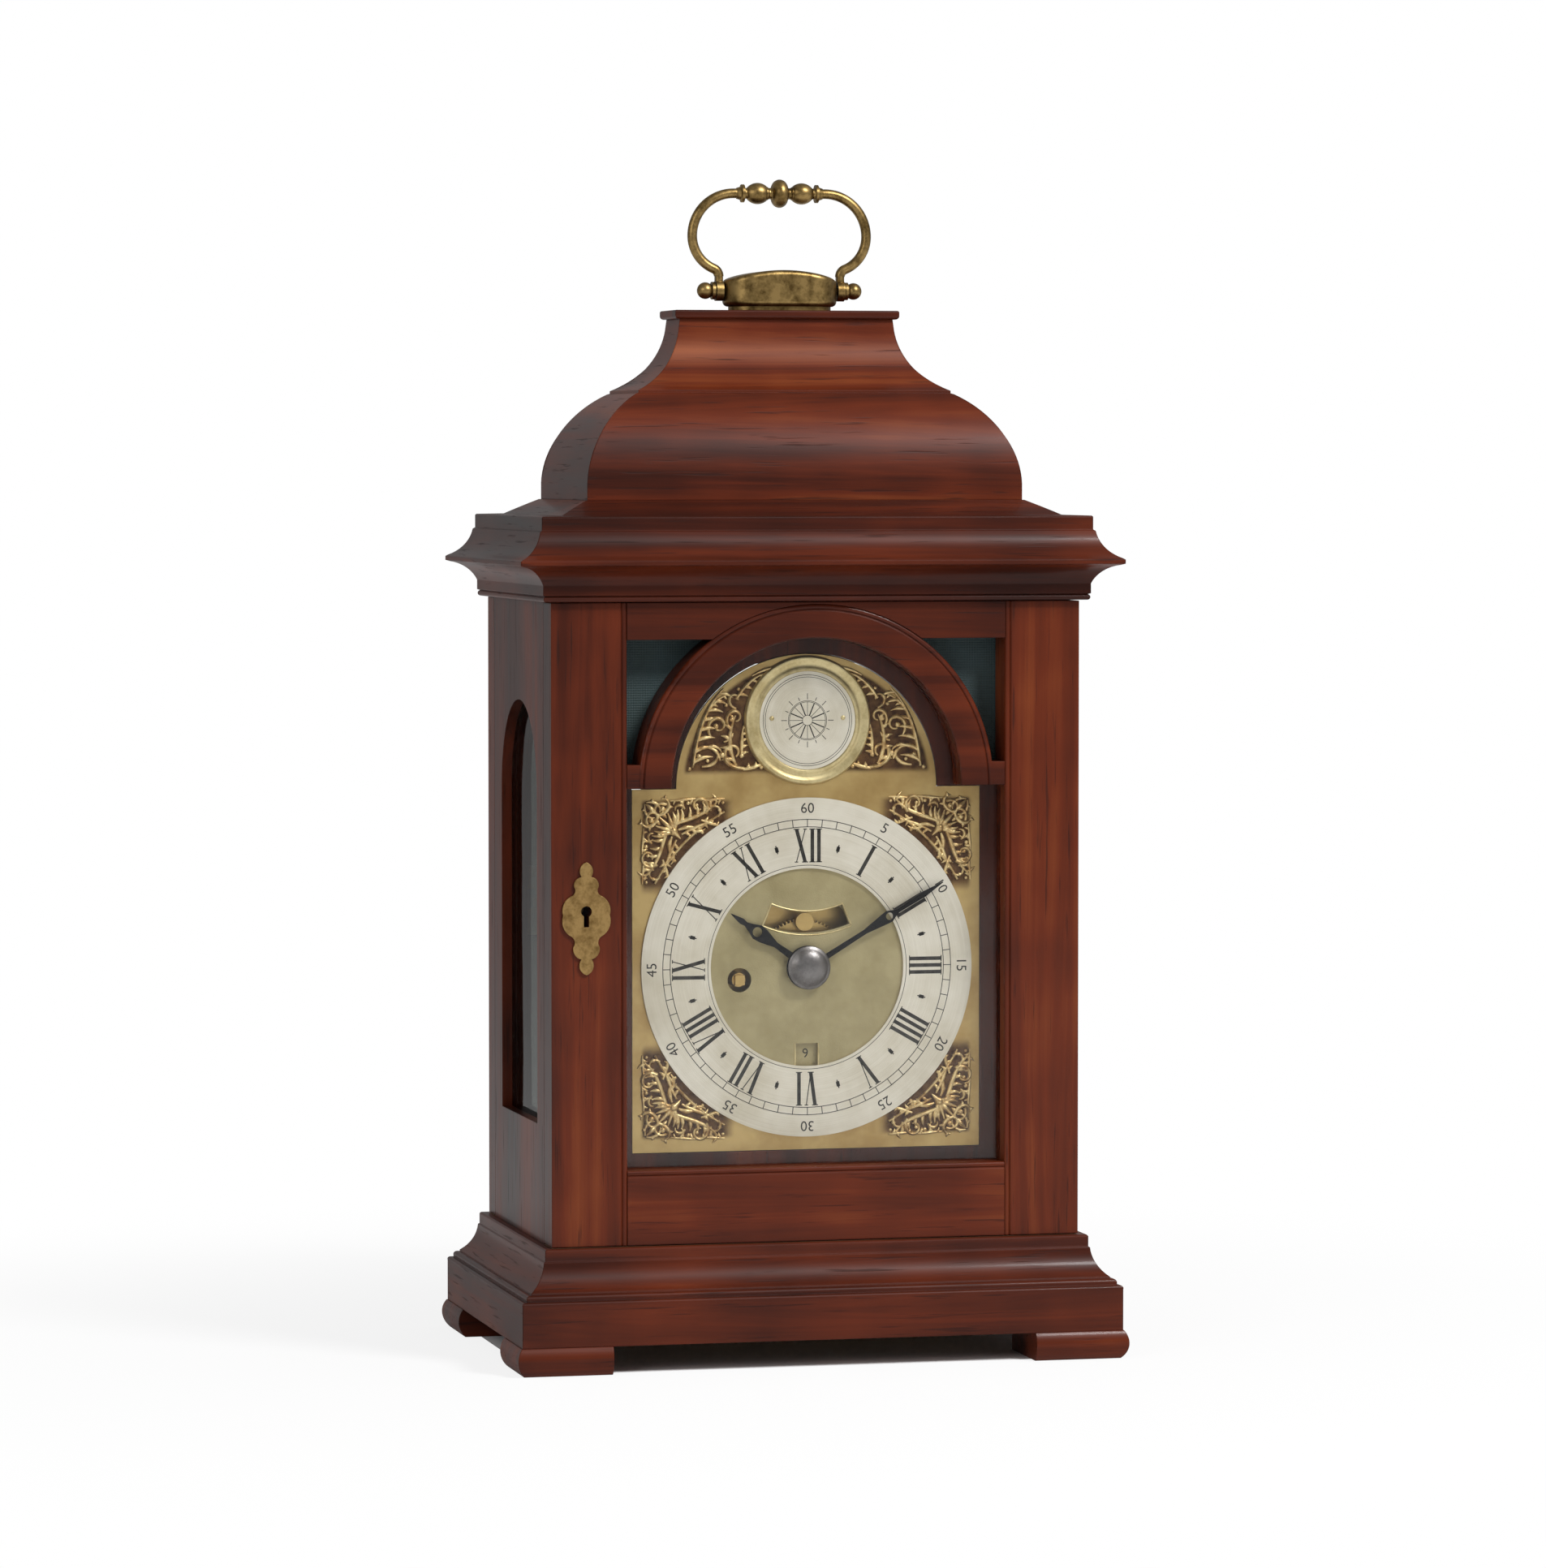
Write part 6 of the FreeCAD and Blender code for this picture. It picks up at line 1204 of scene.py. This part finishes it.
def flat_panel(side):
    """The cut cloth, with no thickness yet, on the right for side 1 and on the left for side -1."""
    bm = bmesh.new()
    centre = Vector((0, SILK_FRONT, ARCH_MIDDLE))
    stand = Matrix.Translation(centre) @ Matrix.Rotation(math.pi / 2, 4, "X")
    bmesh.ops.create_circle(bm, segments=360, radius=SILK_ARC, matrix=stand)
    turns = {vert: math.atan2(vert.co.z - ARCH_MIDDLE, vert.co.x) for vert in bm.verts}
    spare = [vert for vert, turn in turns.items() if not SILK_FROM < turn < SILK_TO]
    bmesh.ops.delete(bm, geom=spare, context="VERTS")
    pushed = bmesh.ops.extrude_edge_only(bm, edges=bm.edges[:])
    outer = [part for part in pushed["geom"] if isinstance(part, bmesh.types.BMVert)]
    for vert in outer:
        away = vert.co - centre
        vert.co = centre + away * min(SILK_SIDE / away.x, (SILK_TOP - ARCH_MIDDLE) / away.z)
    corner = Vector((SILK_SIDE, SILK_FRONT, SILK_TOP))
    nearest = min(outer, key=lambda vert: (vert.co - corner).length)
    nearest.co = corner
    across = [edge for edge in bm.edges if sum(vert in outer for vert in edge.verts) == 1]
    bmesh.ops.subdivide_edges(bm, edges=across, cuts=5, use_grid_fill=True)
    bmesh.ops.scale(bm, vec=(side, 1, 1), verts=bm.verts)
    bmesh.ops.recalc_face_normals(bm, faces=bm.faces)
    return bm


def silk_panel(name, side, replaced=()):
    """Measures the flat cloth, thickens it backwards and hands it over."""
    bm = flat_panel(side)
    area = sum(face.calc_area() for face in bm.faces)
    xs, zs = [vert.co.x for vert in bm.verts], [vert.co.z for vert in bm.verts]
    flat = (max(xs) - min(xs), max(zs) - min(zs))
    to_front = sum(face.normal.y for face in bm.faces) < 0
    bmesh.ops.solidify(bm, geom=bm.faces[:], thickness=SILK_THICK if to_front else -SILK_THICK)
    print("silk", round(flat[0] / MM, 1), "by", round(flat[1] / MM, 1), "mm")
    panel = finished(name, bm, silk, "front_door", replaced)


silk_panel("silk_left", -1)
silk_panel("silk_right", 1, ["corner_silks"])

# %% [markdown]
# ## The gut line
#
# One length of gut pulls the fusee round. It is wound five turns on the spring barrel, runs across below
# the middle arbor, and goes on for eight turns in the fusee's cone. First its way is worked out, as points:
# 24 for each turn, on a drum for the barrel and on a cone that widens in a curve for the fusee. The
# straight run touches both, so it leaves them at the same angle.

# %% Find the gut's way
GUT_THICK = 1.2 * MM
GUT_PITCH = 1.9 * MM
GUT_LIFT = 0.75 * MM
BARREL_AT = Vector((33.0 * MM, 0, 158.0 * MM))
BARREL_RADIUS = 23.0 * MM
BARREL_TURNS = 5
FUSEE_AT = Vector((-29.5 * MM, 0, 162.3 * MM))
FUSEE_START = -27.0 * MM
FUSEE_LONG = 31.0 * MM
FUSEE_THIN, FUSEE_GROWS = 10, 12
FUSEE_TURNS = 8
CROSS_Y = -10.2 * MM
LEAD = 3 * MM
POINTS_A_TURN = 24
OUTWARD = 1.0065


def drum_radius(y):
    """The gut's distance to the barrel's axis, which is the same all along."""
    return BARREL_RADIUS + GUT_LIFT


def cone_radius(y):
    """The gut's distance to the fusee's axis, which is least at the back."""
    share = (y - FUSEE_START) / FUSEE_LONG
    return (FUSEE_THIN + FUSEE_GROWS * (1 - share) ** 1.4) * MM + GUT_LIFT


def winding(centre, radius_at, y_start, turns, start):
    """Points of the turns, from y_start towards the dial."""
    points = []
    for n in range(POINTS_A_TURN * turns + 1):
        y = y_start - GUT_PITCH * n / POINTS_A_TURN
        angle = start - 2 * math.pi * n / POINTS_A_TURN
        radius = radius_at(y) * OUTWARD
        x, z = centre.x + radius * math.cos(angle), centre.z + radius * math.sin(angle)
        points.append(Vector((x, y, z)))
    return points


across = FUSEE_AT - BARREL_AT
lean = math.acos((drum_radius(CROSS_Y) - cone_radius(CROSS_Y)) / across.length)
touch = math.atan2(across.z, across.x) + lean
drum_start = CROSS_Y + GUT_PITCH * BARREL_TURNS
on_drum = winding(BARREL_AT, drum_radius, drum_start, BARREL_TURNS, touch)
on_cone = winding(FUSEE_AT, cone_radius, CROSS_Y, FUSEE_TURNS, touch)
run = (on_cone[0] - on_drum[-1]).normalized() * LEAD
route = [*on_drum, on_drum[-1] + run, on_cone[0] - run, *on_cone]
gut_long = sum((b - a).length for a, b in zip(route, route[1:])) / OUTWARD
print("gut line", round(gut_long / MM), "mm long,", len(route), "points")

# %% [markdown]
# ### From points to a cord
#
# A NURBS spline goes smoothly along the points. It cuts inside them a little, which is why they stand
# slightly further out than the line does. The curve's own bevel gives it the round.

# %% Make the gut line
line = bpy.data.curves.new("gut_cord", "CURVE")
line.dimensions = "3D"
line.bevel_depth = GUT_THICK / 2
line.bevel_resolution = 2
line.resolution_u = 3
line.use_fill_caps = True
spline = line.splines.new("NURBS")
spline.points.add(len(route) - 1)
for point, at in zip(spline.points, route):
    point.co = (*at, 1)
spline.order_u = 3
spline.use_endpoint_u = True
line.materials.append(gut)
gut_cord = added("gut_cord", line)
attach(gut_cord, "case")
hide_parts("gut_line")
tuple(route[0])
print("gut line", round(GUT_THICK / MM, 1), "mm thick")

# %% [markdown] ## The clock's boxes Last, the boxes of the frame and of what is shown are gathered
# side by side, so that they can be compared.

boxes = {"frame": frame_box, "shown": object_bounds()}
{name: [list(corner) for corner in box] for name, box in boxes.items()}
